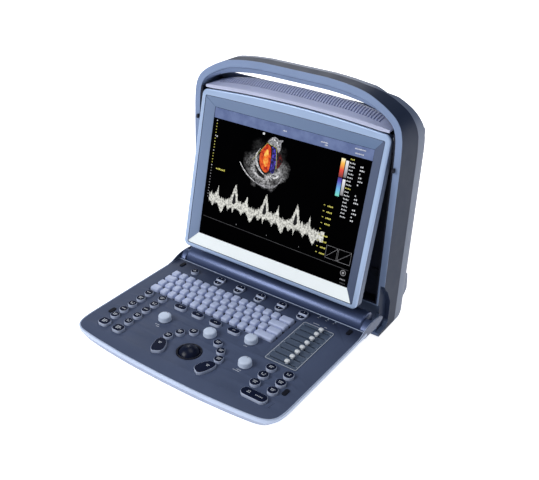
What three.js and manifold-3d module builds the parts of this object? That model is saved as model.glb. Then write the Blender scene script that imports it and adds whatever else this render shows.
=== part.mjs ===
// Portable ultrasound scanner: an upright case with a carrying handle, a tilting flat display
// set into its front, and a control deck that folds up over the display as a lid.
// Millimetres. +X is to the viewer's right, +Y away from the viewer, +Z up.
// The origin is on the table, under the middle of the whole footprint.

import * as THREE from 'three';
import { mergeVertices } from 'three/addons/utils/BufferGeometryUtils.js';
import Module from 'manifold-3d';

const wasm = await Module();
wasm.setup();

// ---------------------------------------------------------------- driving dimensions
const GAP = 0.3;                       // assembly gap between neighbouring pieces

// upright case
const CASE_HALF = 196;
const CASE_TOP = 424.5;
const CASE_FLOOR = 3.2;                // underside; the rubber feet reach the table
const LIP_Y = 98;                      // front plane of the case
const WALL = 3.5;
const LIP_WIDTH = 10.5;                // light band round the recess
const HANDLE_DROP = 13;                // how far the grip's underside hangs below the lip's inner edge
const HANDLE_FRONT_Y = 111;            // where the sloping front of the grip ends
const HANDLE_REAR_Y = 137;

// recess behind the display
const RECESS_FLOOR = 65.3;
const RECESS_TOP = 362;
const RECESS_BACK_Y = 117;
const RECESS_WALL = 3;

// display
const VIEW_W = 304.1;                  // 15 inch, 4:3 visible area
const VIEW_H = 228.1;
const TILT = THREE.MathUtils.degToRad(12);
const SCREEN_ORIGIN = [0, 53.5, 108];  // middle of the visible area's lower edge
const BEZEL_HALF = 177.5;
const BEZEL_LOW = -28.5;
const BEZEL_HIGH = 255;
const BEZEL_ARCH = 8;                  // rise of the top edge at its middle
const BEZEL_FRONT = -10;
const BEZEL_BACK = -2;
const BEZEL_RADIUS = 10;
const COVER_BACK = 9;
const CREASE_HALF = 168;
const CREASE_LOW = -20;
const CREASE_HIGH = 244;
const PIVOT_S = 249;                   // tilt pivot, measured up the screen and behind it
const PIVOT_D = 2.9;
const PIVOT_R = 2.6;

// folding control deck
const DECK_TOP = 42;
const DECK_FRONT = -229.5;
const DECK_REAR = 47.5;
const DECK_HALF = 197.5;
const DECK_BAND = 26;                  // lower edge of the light band round the deck
const BAND_WIDEST = 35;                // below this height the band slopes inwards
const BAND_DRAFT = 3.5;
const RIM = 2;
const DECK_BELLY = 5;
const PANEL_T = 3.2;
const FOLD_Y = 73.5;                   // fold axis
const FOLD_Z = 32;
const FOLD_R = 4;
const BARREL_Y = 72;
const BARREL_Z = 39;
const BARREL_R = 22;
const BARREL_HALF = 184;
const FOOT_REAR = 222.5;               // back of the lower foot on the case

// controls
const KEY_TOP = 47;
const KEY_GAP = 0.5;
const MAT_TOP = DECK_TOP - PANEL_T - GAP;
const MAT_T = 2;
const KEY_PITCH = 16.5;
const KEY_W = 13.9;
const KEY_D = 15.2;
const KEY_ROW_PITCH = 18.5;
const KEYS_X = [-167.6, 87.8];
const KEYS_Y = -3;                     // middle of the back row
const KEY_ROWS = [[KEY_W, 13], [21.4, 12], [KEY_W, 13], [18.9, 12]];   // first width, equal keys after it
const MODE_COLUMNS = [-156, -125.8];
const MODE_FIRST_Y = -80.5;
const MODE_PITCH = 20.3;
const TRACKBALL = [0, -161.5];
const BALL_R = 19;
const KNOBS = [[-85.4, -119.9], [-0.7, -109.3], [61.1, -83.5], [87.6, -136.2]];
const KNOB_R = 11;
const KNOB_TOP = 52.5;
const TGC_X = 128.5;
const TGC_Y = -45.2;
const TGC_HALF = [29, 59];
const TGC_SLOTS = 8;
const TGC_PITCH = 14.3;
const TGC_TRAVEL = 46;
const TGC_CAP_X = 136.5;

// ---------------------------------------------------------------- solids
function toSolid(geometry) {
  const plain = geometry.index ? geometry.toNonIndexed() : geometry.clone();
  plain.deleteAttribute('normal');
  plain.deleteAttribute('uv');
  const merged = mergeVertices(plain, 1e-4);
  const mesh = new wasm.Mesh({
    numProp: 3,
    vertProperties: new Float32Array(merged.attributes.position.array),
    triVerts: new Uint32Array(merged.index.array),
  });
  return new wasm.Manifold(mesh);
}

function toGeometry(solid) {
  const mesh = solid.getMesh();
  const geometry = new THREE.BufferGeometry();
  geometry.setAttribute('position', new THREE.BufferAttribute(mesh.vertProperties, 3));
  geometry.setIndex(new THREE.BufferAttribute(mesh.triVerts, 1));
  geometry.computeVertexNormals();
  return geometry;
}

// A flat outline pushed along one axis. Outlines are [x, y] for 'z', [y, z] for 'x', [x, z] for 'y'.
function prism(axis, points, low, high) {
  const swap = axis === 'y';
  const shape = new THREE.Shape(points.map(([u, v]) => new THREE.Vector2(swap ? v : u, swap ? u : v)));
  const geometry = new THREE.ExtrudeGeometry(shape, { depth: high - low, bevelEnabled: false });
  geometry.translate(0, 0, low);
  const turn = new THREE.Matrix4();
  if (axis === 'x') turn.set(0, 0, 1, 0, 1, 0, 0, 0, 0, 1, 0, 0, 0, 0, 0, 1);
  if (axis === 'y') turn.set(0, 1, 0, 0, 0, 0, 1, 0, 1, 0, 0, 0, 0, 0, 0, 1);
  geometry.applyMatrix4(turn);
  return toSolid(geometry);
}

function block(x0, x1, y0, y1, z0, z1) {
  const geometry = new THREE.BoxGeometry(x1 - x0, y1 - y0, z1 - z0);
  geometry.translate((x0 + x1) / 2, (y0 + y1) / 2, (z0 + z1) / 2);
  return toSolid(geometry);
}

// A round bar along one axis, between low and high on that axis; a and b are its other two coordinates.
function rod(axis, a, b, r, low, high, sides = 12, topR = r) {
  const geometry = new THREE.CylinderGeometry(topR, r, high - low, sides);
  if (axis === 'z') {
    geometry.rotateX(Math.PI / 2);
    geometry.translate(a, b, (low + high) / 2);
  }
  if (axis === 'y') geometry.translate(a, (low + high) / 2, b);
  if (axis === 'x') {
    geometry.rotateZ(-Math.PI / 2);
    geometry.translate((low + high) / 2, a, b);
  }
  return toSolid(geometry);
}

// A skin over rings of equal length, closed at both ends.
function loft(rings) {
  const count = rings[0].length;
  const flat = (ring) => {
    const corners = [ring[0], ring[1], ring[Math.floor(count / 2)]];
    const [p, q, r] = corners.map((v) => new THREE.Vector3(...v));
    const normal = q.clone().sub(p).cross(r.clone().sub(p));
    const axes = ['x', 'y', 'z'];
    const drop = axes.reduce((best, k) => (Math.abs(normal[k]) > Math.abs(normal[best]) ? k : best), 'x');
    const keep = axes.filter((k) => k !== drop).map((k) => axes.indexOf(k));
    return ring.map((v) => new THREE.Vector2(v[keep[0]], v[keep[1]]));
  };
  const faces = [];
  for (let k = 0; k + 1 < rings.length; k += 1) {
    for (let i = 0; i < count; i += 1) {
      const j = (i + 1) % count;
      const a = k * count;
      faces.push([a + i, a + j, a + count + j], [a + i, a + count + j, a + count + i]);
    }
  }
  const last = (rings.length - 1) * count;
  const capFirst = THREE.ShapeUtils.triangulateShape(flat(rings[0]), []);
  const capLast = THREE.ShapeUtils.triangulateShape(flat(rings.at(-1)), []);
  const edge = (face, a, b) => face.some((v, i) => v === a && face[(i + 1) % 3] === b);
  const joined = (cap, a, b) => cap.some((face) => edge(face, a, b));
  const flipFirst = joined(capFirst, 0, 1);
  const flipLast = !joined(capLast, 0, 1);
  capFirst.forEach(([a, b, c]) => faces.push(flipFirst ? [a, c, b] : [a, b, c]));
  capLast.forEach(([a, b, c]) => {
    faces.push(flipLast ? [last + a, last + c, last + b] : [last + a, last + b, last + c]);
  });
  const geometry = new THREE.BufferGeometry();
  geometry.setAttribute('position', new THREE.Float32BufferAttribute(rings.flat(2), 3));
  geometry.setIndex(faces.flat());
  let volume = 0;
  const p = rings.flat();
  faces.forEach(([a, b, c]) => {
    volume += new THREE.Vector3(...p[a]).dot(new THREE.Vector3(...p[b]).cross(new THREE.Vector3(...p[c])));
  });
  if (volume < 0) geometry.setIndex(faces.map(([a, b, c]) => [a, c, b]).flat());
  return toSolid(geometry);
}

function join(first, ...rest) {
  return rest.reduce((sum, solid) => sum.add(solid), first);
}

function cut(first, ...rest) {
  return rest.reduce((sum, solid) => sum.subtract(solid), first);
}

// ---------------------------------------------------------------- outlines
function mirrored(half) {
  const left = half.filter(([x]) => x > 0).map(([x, v]) => [-x, v]).reverse();
  return [...half, ...left];
}

// Moves a convex outline inwards by the same distance everywhere.
function inset(points, distance) {
  const area = points.reduce((sum, [x, y], i) => {
    const [u, v] = points[(i + 1) % points.length];
    return sum + x * v - u * y;
  }, 0);
  const side = Math.sign(area);
  return points.map(([x, y], i) => {
    const [px, py] = points[(i + points.length - 1) % points.length];
    const [nx, ny] = points[(i + 1) % points.length];
    const a = new THREE.Vector2(x - px, y - py).normalize();
    const b = new THREE.Vector2(nx - x, ny - y).normalize();
    const normal = new THREE.Vector2(-(a.y + b.y), a.x + b.x).normalize().multiplyScalar(side);
    const reach = distance / Math.max(0.3, normal.x * -a.y * side + normal.y * a.x * side);
    return [x + normal.x * reach, y + normal.y * reach];
  });
}

// A finer outline through the same points, along a smooth curve.
function smoothed(points, steps) {
  const path = points.map(([u, v]) => new THREE.Vector3(u, v, 0));
  const curve = new THREE.CatmullRomCurve3(path, false, 'centripetal');
  return curve.getPoints((points.length - 1) * steps).map((p) => [p.x, p.y]);
}

function roundedRect(x0, x1, y0, y1, radius, steps = 3) {
  const centres = [[x1 - radius, y1 - radius], [x0 + radius, y1 - radius],
    [x0 + radius, y0 + radius], [x1 - radius, y0 + radius]];
  return centres.flatMap(([cx, cy], corner) => Array.from({ length: steps + 1 }, (_, i) => {
    const angle = (corner + i / steps) * Math.PI / 2;
    return [cx + radius * Math.cos(angle), cy + radius * Math.sin(angle)];
  }));
}

// ---------------------------------------------------------------- scene graph
const scanner = new THREE.Group();
const display = new THREE.Group();
const deck = new THREE.Group();
scanner.add(display, deck);
scanner.position.y = -(DECK_FRONT + FOOT_REAR) / 2;
display.position.set(...SCREEN_ORIGIN);
display.rotation.x = -TILT;

function material(color, roughness, metalness = 0) {
  return new THREE.MeshStandardMaterial({ color, roughness, metalness });
}

const slate = material(0x4f5a72, 0.55);
const flank = material(0x6f7686, 0.5);
const shell = material(0xa3a2b2, 0.5);
const paleBlue = material(0xb9cdeb, 0.4);
const navy = material(0x1d2540, 0.6);
const violetGrey = material(0xa39fb6, 0.55);
const keyGrey = material(0xb3b3c6, 0.5);
const knobGrey = material(0xd3d6e2, 0.4);
const rubber = material(0x20242e, 0.8);
const glass = material(0x05060c, 0.15);
const steel = material(0xb0b4ba, 0.35, 0.9);
const circuit = material(0x2c5a3a, 0.6);
const ballNavy = material(0x161c30, 0.15);

function place(group, name, solid, look) {
  const mesh = new THREE.Mesh(toGeometry(solid), look);
  mesh.name = name;
  group.add(mesh);
}

const sides = [['left', -1], ['right', 1]];

// ---------------------------------------------------------------- upright case
const shoulder = [[58, CASE_TOP], [92, 422], [126, 416], [144, 409], [161, 400], [173, 392], [182, 384],
  [189, 373], [193, 360], [195, 342], [CASE_HALF, 300]];
const crown = [[0, CASE_TOP], ...smoothed(shoulder, 3), [CASE_HALF, CASE_FLOOR]];
const outline = mirrored(crown);
const rearProfile = smoothed([
  [131, CASE_TOP], [132.5, 420], [137, 416], [142.5, 411.5], [147.5, 405], [152, 398],
  [158, 385], [166, 371], [176.5, 355], [183, 335], [189, 317], [194.5, 299], [198, 240], [201.5, 164],
  [203.5, 124], [203.5, 30], [200, 18], [187, 8], [172, CASE_FLOOR]], 2);
const caseSide = [[LIP_Y, CASE_TOP], ...rearProfile, [99.5, CASE_FLOOR], [99.5, 9], [106, 12], [106, 59],
  [LIP_Y, RECESS_FLOOR - 2]];
const rearCorner = smoothed([[CASE_HALF, 180], [193, 192], [186, 201], [174, 206]], 3);
const casePlan = mirrored([[0, 90], [CASE_HALF, 90], ...rearCorner, [174, 226], [0, 226]]);
const insidePlan = mirrored([[0, 90], [CASE_HALF - WALL, 90], [CASE_HALF - WALL, 180], [189, 190],
  [183, 197], [172, 200], [0, 200]]);
const rearSideInside = [[100, CASE_TOP - WALL], [127.5, CASE_TOP - WALL], [129.5, 417], [134.5, 413],
  [140, 408.5], [144.5, 402.5], [149, 396], [154.5, 384], [162.5, 369.5], [173, 353.5], [179.5, 334],
  [185.5, 316], [191, 298.5], [194.5, 240], [198, 164], [200, 124], [200, 31], [197.5, 20.5], [186, 11.5],
  [171, CASE_FLOOR + WALL], [100, CASE_FLOOR + WALL]];

// rounded feet on the back, so the closed case can also lie down
const upperFoot = [[172, 352], [186, 350.5], [201, 345], [204.5, 338], [204.5, 322], [199, 311], [186, 307]];
const lowerFoot = [[198, 76], [209, 73], [216, 69], [219.5, 57], [FOOT_REAR, 35], [216.5, 28], [206, 20],
  [196, 17]];

// the opening through the front: the lip's inner edge, then the sloping front of the grip
const lipInner = inset(outline, LIP_WIDTH);
function gripUnderside([x, z]) {
  const rise = THREE.MathUtils.clamp((z - 364) / 45, 0, 1);
  return [x, z - HANDLE_DROP * rise];
}
function opening(grow, yLow, yHigh) {
  const front = inset(outline, LIP_WIDTH - grow).map(([x, z]) => [x, Math.max(z, RECESS_FLOOR - GAP - grow)]);
  const back = front.map(gripUnderside);
  const ring = (points, y) => points.map(([x, z]) => [x, y, z]);
  return loft([ring(front, yLow), ring(back, HANDLE_FRONT_Y), ring(back, yHigh)]);
}
const mouth = opening(0, LIP_Y - 0.5, 170);

// the hand space behind the grip falls away to the back
const scoopSide = (drop) => [[HANDLE_REAR_Y - drop, 470], [HANDLE_REAR_Y - drop, 386 - drop],
  [170, 365 - drop], [240, 322 - drop], [240, 470]];
const scoopPlan = (grow) => mirrored([[0, 120], [143 + grow, 120], [143 + grow, 136], [182 + grow, 172],
  [182 + grow, 250], [0, 250]]);
const scoop = (grow) => prism('x', scoopSide(grow), -190, 190)
  .intersect(prism('z', scoopPlan(grow), 300, 480));

const seam = [[121.5, 440], [121.5, 424], [122.5, 419], [126.5, 415], [132.5, 410], [136.5, 402],
  [137.5, 397], [139.5, 391], [141.5, 384], [144.5, 374], [151.5, 359], [156.5, 345], [159, 320],
  [159, -5]];
const frontRegion = prism('x', [[80, -5], [80, 440], ...seam], -210, 210);
const rearRegion = prism('x', [[240, 440], ...seam.map(([y, z]) => [y + GAP, z]), [240, -5]], -210, 210);

let caseOuter = prism('y', outline, 90, 240)
  .intersect(prism('x', caseSide, -210, 210))
  .intersect(prism('z', casePlan, -5, 440));
for (const [, s] of sides) {
  const from = s > 0 ? 118 : -186;
  caseOuter = join(caseOuter, prism('x', upperFoot, from, from + 68), prism('x', lowerFoot, from, from + 68));
}
const caseInner = prism('y', inset(outline, WALL), 90, 240)
  .intersect(prism('x', rearSideInside, -210, 210))
  .intersect(prism('z', insidePlan, -5, 440));

// front frame: lip, flanks, grip front, floor and the wall under the recess
const floorSlab = block(-210, 210, 80, 240, -5, 62.5);
const hollowFront = cut(caseInner, opening(WALL - 0.5, 101, 170), scoop(WALL), floorSlab);
const underBay = join(block(-184, 184, 109.5, 170, CASE_FLOOR + WALL, RECESS_FLOOR - 4),
  block(-184, 184, 121, 170, 60, 70));
const flankSolid = join(block(-210, -184, 80, 150, 0, 112), block(184, 210, 80, 150, 0, 112));
const flankNotch = [[90, 103], [98.5, 103], [106, 92], [113.5, 86], [122, 72], [129, 60], [130.5, 40],
  [130.5, 16], [124, 9], [90, 9]];
const hingeArm = [[106.5, 18], [84, 21], [73.5, 25], [68.5, 27], [66.5, 32], [68.5, 37], [73.5, 39],
  [98, 38.5], [106.5, 44]];
const frontHollow = hollowFront.subtract(flankSolid);
let frontFrame = cut(caseOuter.intersect(frontRegion), mouth, scoop(0), frontHollow, underBay);
for (const [, s] of sides) {
  const outer = s > 0 ? [188.3, 210] : [-210, -188.3];
  const arm = s > 0 ? [184.6, 190.4] : [-190.4, -184.6];
  frontFrame = frontFrame.subtract(prism('x', flankNotch, ...outer));
  frontFrame = frontFrame.add(prism('x', hingeArm, ...arm));
  frontFrame = frontFrame.subtract(rod('x', FOLD_Y, FOLD_Z, FOLD_R + GAP, arm[0] - 1, arm[1] + 1, 16));
}
place(scanner, 'front_frame', frontFrame, flank);

// rear case: back shell with the hand space, fan grille and connector openings
const gripBack = block(-210, 210, 80, 148, RECESS_TOP, 440);
let rearCase = cut(caseOuter.intersect(rearRegion), scoop(0), cut(caseInner, scoop(WALL), gripBack),
  opening(0, 90, HANDLE_REAR_Y + 1));
const FAN = [105, 215];
for (let i = -3; i <= 3; i += 1) {
  const half = Math.sqrt(29 * 29 - (i * 8) ** 2);
  const z = FAN[1] + i * 8;
  rearCase = rearCase.subtract(block(FAN[0] - half, FAN[0] + half, 190, 215, z - 2, z + 2));
}
const INLET = [96, 60];
rearCase = rearCase.subtract(block(INLET[0] - 16, INLET[0] + 16, 190, 225, INLET[1] - 12, INLET[1] + 12));
const SOCKET_Y = 176;
const SOCKET_Z = [92, 152];
const SOCKET_HALF = [13, 24];
SOCKET_Z.forEach((z) => {
  rearCase = rearCase.subtract(block(-210, -180, SOCKET_Y - SOCKET_HALF[0], SOCKET_Y + SOCKET_HALF[0],
    z - SOCKET_HALF[1], z + SOCKET_HALF[1]));
});
place(scanner, 'rear_case', rearCase, shell);

// recess housing: tub behind the display, with holes for the tilt pivots
const tubOutline = (grow) => prism('y', inset(outline, LIP_WIDTH + GAP + grow), 80, 140);
const pivotY = SCREEN_ORIGIN[1] + PIVOT_D * Math.cos(TILT) + PIVOT_S * Math.sin(TILT);
const pivotZ = SCREEN_ORIGIN[2] - PIVOT_D * Math.sin(TILT) + PIVOT_S * Math.cos(TILT);
const tub = cut(
  tubOutline(0).intersect(block(-200, 200, LIP_Y + 1, RECESS_BACK_Y + RECESS_WALL, RECESS_FLOOR, RECESS_TOP)),
  tubOutline(RECESS_WALL).intersect(block(-200, 200, 80, RECESS_BACK_Y, RECESS_FLOOR + RECESS_WALL, 400)),
  rod('x', pivotY, pivotZ, PIVOT_R + GAP, -200, 200, 12),
);
const ventHoles = [-90, -30, 30, 90].map((x) => block(x - 18, x + 18, 110, 125, 300, 318));
place(scanner, 'recess_housing', cut(tub, ...ventHoles), navy);

// vent hood above the display: a shelf rising to a crest under the grip, with a row of air slots
const HOOD_HALF = 172;
function hoodSection(x) {
  const t = Math.abs(x) / HOOD_HALF;
  const front = 373 - 6.5 * t ** 3;
  const crest = 388 - 2 * t - 19.5 * t ** 4;
  const top = [[98.8, front], [106, front + (crest - front) * 0.35], [117, front + (crest - front) * 0.8],
    [127, crest], [134, crest - 0.8], [140.3, crest - 3.5]];
  const under = top.map(([y, z]) => [Math.max(y, 101.6), z - 3]).reverse();
  const foot = Math.max(RECESS_TOP + GAP, 369 - BEZEL_ARCH * t * t);
  return [...top, ...under, [101.6, foot], [98.8, foot]].map(([y, z]) => [x, y, z]);
}
const hoodStations = [-172, -160, -146, -130, -110, -80, -40, 0, 40, 80, 110, 130, 146, 160, 172];
let hood = loft(hoodStations.map(hoodSection));
const AIR_SLOTS = 54;
const AIR_PITCH = 5.6;
for (let i = 0; i < AIR_SLOTS; i += 1) {
  const x = (i - (AIR_SLOTS - 1) / 2) * AIR_PITCH;
  hood = hood.subtract(block(x - 1.2, x + 1.2, 114, 130, 366, 400));
}
place(scanner, 'vent_hood', hood, violetGrey);

// small pieces on the case
for (const [side, s] of sides) {
  const buffer = rod('y', s * 168.6, 113.6, 8, RECESS_BACK_Y - 2.1, RECESS_BACK_Y - GAP, 16);
  place(scanner, `display_buffer_${side}`, buffer, rubber);
  place(scanner, `base_foot_${side}`, rod('z', s * 160, 135, 11, 0, CASE_FLOOR - 0.1, 16), rubber);
  const catchBody = block(s > 0 ? 186.2 : -189.4, s > 0 ? 189.4 : -186.2, 93.6, LIP_Y - 0.1, 304, 311);
  const catchNose = block(s > 0 ? 184.8 : -189.4, s > 0 ? 189.4 : -184.8, 92.8, 94.6, 305, 310);
  place(scanner, `cover_catch_${side}`, join(catchBody, catchNose), paleBlue);
}

// inside the case
const standoffs = [[-120, 90], [120, 90], [-120, 290], [120, 290]]
  .map(([x, z]) => rod('y', x, z, 4, RECESS_BACK_Y + RECESS_WALL + 0.1, 133, 8));
place(scanner, 'main_board', join(block(-150, 150, 132, 134, 70, 310), ...standoffs), circuit);
const inletSocket = cut(block(INLET[0] - 14, INLET[0] + 14, 186, 203, INLET[1] - 10, INLET[1] + 10),
  block(INLET[0] - 11, INLET[0] + 11, 192, 205, INLET[1] - 7, INLET[1] + 7));
const inletPins = [-7, 0, 7].map((x) => block(INLET[0] + x - 1, INLET[0] + x + 1, 190, 200,
  INLET[1] - 2 + (x === 0 ? 3 : 0), INLET[1] + 2 + (x === 0 ? 3 : 0)));
place(scanner, 'power_supply', join(block(20, 160, 140, 188, 15, 86),
  block(30, 150, 142, 158, CASE_FLOOR + WALL + 0.1, 16), inletSocket, ...inletPins), steel);
const fanRing = cut(block(FAN[0] - 32, FAN[0] + 32, 176, 194, FAN[1] - 32, FAN[1] + 32),
  rod('y', FAN[0], FAN[1], 29, 170, 200, 24));
const fanSpider = join(block(FAN[0] - 30, FAN[0] + 30, 176, 178.5, FAN[1] - 2, FAN[1] + 2),
  rod('y', FAN[0], FAN[1], 10, 176, 178.5, 12), rod('y', FAN[0], FAN[1], 2.5, 178, 190, 8));
place(scanner, 'fan_frame', join(fanRing, fanSpider), navy);
const blade = (angle) => {
  const geometry = new THREE.BoxGeometry(18, 1.6, 11);
  geometry.rotateX(0.6);
  geometry.translate(17.5, 0, 0);
  geometry.rotateY(angle);
  geometry.translate(FAN[0], 185, FAN[1]);
  return toSolid(geometry);
};
const blades = [0, 1, 2, 3, 4].map((i) => blade(i * Math.PI * 2 / 5));
const rotor = cut(join(rod('y', FAN[0], FAN[1], 11, 179, 191, 20), ...blades),
  rod('y', FAN[0], FAN[1], 2.9, 178, 190.4, 12));
place(scanner, 'fan_rotor', rotor, navy);
let socketBlock = block(-185, -172, SOCKET_Y - 15, SOCKET_Y + 15, 62, 182);
SOCKET_Z.forEach((z) => {
  const [hy, hz] = [SOCKET_HALF[0] - 1, SOCKET_HALF[1] - 1];
  socketBlock = socketBlock.add(block(-194.5, -184, SOCKET_Y - hy, SOCKET_Y + hy, z - hz, z + hz));
  const [cy, cz] = [hy - 3, hz - 3];
  socketBlock = socketBlock.subtract(block(-200, -183, SOCKET_Y - cy, SOCKET_Y + cy, z - cz, z + cz));
});
place(scanner, 'probe_socket_block', socketBlock, navy);

// ---------------------------------------------------------------- display, in its own tilted frame
function bezelOutline(grow) {
  const corners = roundedRect(-BEZEL_HALF + grow, BEZEL_HALF - grow, BEZEL_LOW + grow,
    BEZEL_HIGH - grow, BEZEL_RADIUS - grow, 6);
  const straight = BEZEL_HALF - BEZEL_RADIUS;
  const top = Array.from({ length: 11 }, (_, i) => [straight * (1 - (i + 1) / 6), BEZEL_HIGH - grow]);
  return [...corners.slice(0, 7), ...top, ...corners.slice(7)].map(([x, s]) => [
    x, s > VIEW_H ? s + BEZEL_ARCH * (1 - (x / BEZEL_HALF) ** 2) : s]);
}
const facet = (half, low, high, d) => [[-half, d, low], [half, d, low], [half, d, high], [-half, d, high]];
const funnel = loft([facet(CREASE_HALF + 0.4, CREASE_LOW - 0.4, CREASE_HIGH + 0.4, BEZEL_FRONT - 0.4),
  facet(VIEW_W / 2, 0, VIEW_H, BEZEL_BACK - 0.6), facet(VIEW_W / 2, 0, VIEW_H, BEZEL_BACK + 1)]);
const sideNotch = block(BEZEL_HALF - 3.5, BEZEL_HALF + 1, -7.5, BEZEL_BACK + 1, -12, -4);
const bezel = cut(prism('y', bezelOutline(0), BEZEL_FRONT, BEZEL_BACK), funnel, sideNotch);
place(display, 'display_bezel', bezel, paleBlue);

const coverSkin = cut(prism('y', bezelOutline(0.6), BEZEL_BACK + GAP, COVER_BACK),
  prism('y', bezelOutline(3.2), BEZEL_BACK - 1, COVER_BACK - 2.2));
const coverBosses = sides.map(([, s]) => block(s > 0 ? 160 : -171.5, s > 0 ? 171.5 : -160,
  BEZEL_BACK + GAP + 0.4, COVER_BACK - 1, 242, 252.6));
const cover = cut(join(coverSkin, ...coverBosses), rod('x', PIVOT_D, PIVOT_S, PIVOT_R + GAP, -190, -165, 12),
  rod('x', PIVOT_D, PIVOT_S, PIVOT_R + GAP, 165, 190, 12));
place(display, 'display_rear_cover', cover, shell);
place(display, 'lcd_module', block(-157, 157, BEZEL_BACK + GAP, COVER_BACK - 2.5, -5, VIEW_H + 5), glass);
for (const [side, s] of sides) {
  const pivot = rod('x', PIVOT_D, PIVOT_S, PIVOT_R, s > 0 ? 165.3 : -182.6, s > 0 ? 182.6 : -165.3, 12);
  place(display, `display_pivot_${side}`, pivot, steel);
}

// ---------------------------------------------------------------- control deck
const deckCorner = [[0, DECK_FRONT], [60, DECK_FRONT + 0.9], [100, DECK_FRONT + 2.9], [150, DECK_FRONT + 7.1],
  [176, DECK_FRONT + 11.5], [186, DECK_FRONT + 17], [192.5, DECK_FRONT + 26.5], [195.5, DECK_FRONT + 41.5],
  [196.5, DECK_FRONT + 89.5], [DECK_HALF, DECK_FRONT + 217]];
const deckPlan = mirrored([...smoothed(deckCorner, 3), [DECK_HALF, DECK_REAR]]);
const panelPlan = inset(deckPlan, RIM + GAP);
const level = (points, z) => points.map(([x, y]) => [x, y, z]);
const band = loft([level(inset(deckPlan, BAND_DRAFT), DECK_BAND), level(deckPlan, BAND_WIDEST),
  level(deckPlan, DECK_TOP + 0.6)]);
let bottomShell = cut(band, prism('z', inset(deckPlan, BAND_DRAFT + 2.3), DECK_BAND + 3, BAND_WIDEST + 1),
  prism('z', inset(deckPlan, RIM), BAND_WIDEST + 0.5, DECK_TOP + 5));
const bellyPlan = (shrink) => roundedRect(shrink - 165, 165 - shrink, shrink - 198, 35 - shrink,
  14 - shrink, 5);
bottomShell = join(bottomShell, prism('z', bellyPlan(0), DECK_BELLY, DECK_BAND + 1));
bottomShell = cut(bottomShell, prism('z', bellyPlan(3), DECK_BELLY + 3, DECK_BAND + 5));

// at the back the rim sweeps up past the ends of the hinge barrel, and a cheek closes the space between
const wing = [[15, 35], [15, 42.3], [24, 43.5], [32, 46.5], [40, 49.5], [50, 52], [60, 53], [76, 52.5],
  [88, 50.5], [98, 47], [104, 42.5], [103, 39], [93, 34.5], [76, 32.5], [57, 33.5], [28, 35]];
const cheek = [[46.2, 30], [46.2, 42.5], [50, 46], [55, 50.5], [60, 53.4], [66, 54.5], [66, 30]];
const CHEEK_X = [BARREL_HALF + GAP, DECK_HALF - RIM + 0.1];
for (const [, s] of sides) {
  bottomShell = join(bottomShell,
    prism('x', wing, s > 0 ? DECK_HALF - RIM : -DECK_HALF, s > 0 ? DECK_HALF : RIM - DECK_HALF),
    prism('x', cheek, s > 0 ? CHEEK_X[0] : -CHEEK_X[1], s > 0 ? CHEEK_X[1] : -CHEEK_X[0]));
}
const screwPosts = [[-110, 20], [110, 20], [-110, -185], [110, -185]]
  .map(([x, y]) => rod('z', x, y, 4, DECK_BELLY + 2, MAT_TOP - MAT_T - GAP, 8));
place(deck, 'deck_bottom_shell', join(bottomShell, ...screwPosts), paleBlue);

// hinge barrel along the deck's back edge
let barrel = rod('x', BARREL_Y, BARREL_Z, BARREL_R, -BARREL_HALF, BARREL_HALF, 40);
barrel = barrel.subtract(rod('x', BARREL_Y, BARREL_Z, BARREL_R - 3, -BARREL_HALF + 4, BARREL_HALF - 4, 28));
barrel = barrel.subtract(block(-BARREL_HALF + 4, BARREL_HALF - 4, BARREL_Y - 10, BARREL_Y + 10, 10, 30));
barrel = barrel.add(block(-170, 170, DECK_REAR + GAP, 56, 24, 36));
barrel = barrel.subtract(rod('x', FOLD_Y, FOLD_Z, FOLD_R + 0.1, -200, 200, 16));
place(deck, 'deck_hinge_barrel', barrel, shell);
for (const [side, s] of sides) {
  const pin = rod('x', FOLD_Y, FOLD_Z, FOLD_R, s > 0 ? 170 : -191, s > 0 ? 191 : -170, 16);
  place(deck, `deck_pivot_${side}`, pin, steel);
  place(deck, `deck_foot_${side}`, rod('z', s * 148, -182, 10, 0, DECK_BELLY - 0.1, 16), rubber);
}

// keys: an outline, a position and a height; the same outline, grown, makes the hole in the panel
const disc = (r, steps = 10) => Array.from({ length: steps }, (_, i) => {
  const angle = (i + 0.5) / steps * Math.PI * 2;
  return [r * Math.cos(angle), r * Math.sin(angle)];
});
const oval = (w, h) => roundedRect(-w / 2, w / 2, -h / 2, h / 2, h / 2 - 0.8, 3);
const moved = (points, [x, y], turn = 0) => points.map(([u, v]) => [
  x + u * Math.cos(turn) - v * Math.sin(turn), y + u * Math.sin(turn) + v * Math.cos(turn)]);

const modeOutlines = MODE_COLUMNS.flatMap((x) => [
  ...[0, 1, 2, 3, 4].map((row) => moved(disc(7.4), [x, MODE_FIRST_Y - row * MODE_PITCH])),
  moved(roundedRect(-9.5, 9.5, -8.5, 8.5, 6), [x, -185])]);

// the keys round the trackball are discs with their outer side cut straight
const ARC = [[50.4, -152.3], [41, -134.4], [24.5, -120.5]];
const ARC_R = 7.6;
const ARC_FLAT = 5.8;
function arcOutline([x, y]) {
  const outward = Math.atan2(y - TRACKBALL[1], x - TRACKBALL[0]);
  const points = Array.from({ length: 16 }, (_, i) => {
    const angle = (i + 0.5) / 16 * Math.PI * 2;
    const reach = Math.min(ARC_R, ARC_FLAT / Math.max(Math.cos(angle), 0.1));
    return [reach * Math.cos(angle), reach * Math.sin(angle)];
  });
  return moved(points, [x, y], outward);
}
const arcOutlines = ARC.flatMap(([x, y]) => [arcOutline([x, y]), arcOutline([-x, y])]);
const ovalKeys = [0, 1, 2, 3].map((i) => [-85.5 + i * 36.9, -81]);
const rightKeys = [125, 156].flatMap((x) => [-121, -142, -163].map((y) => ({ at: [x, y], r: 8.2 })));
const FREEZE = [140, -186.5];
const THUMB = [45, -180.5];
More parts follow.
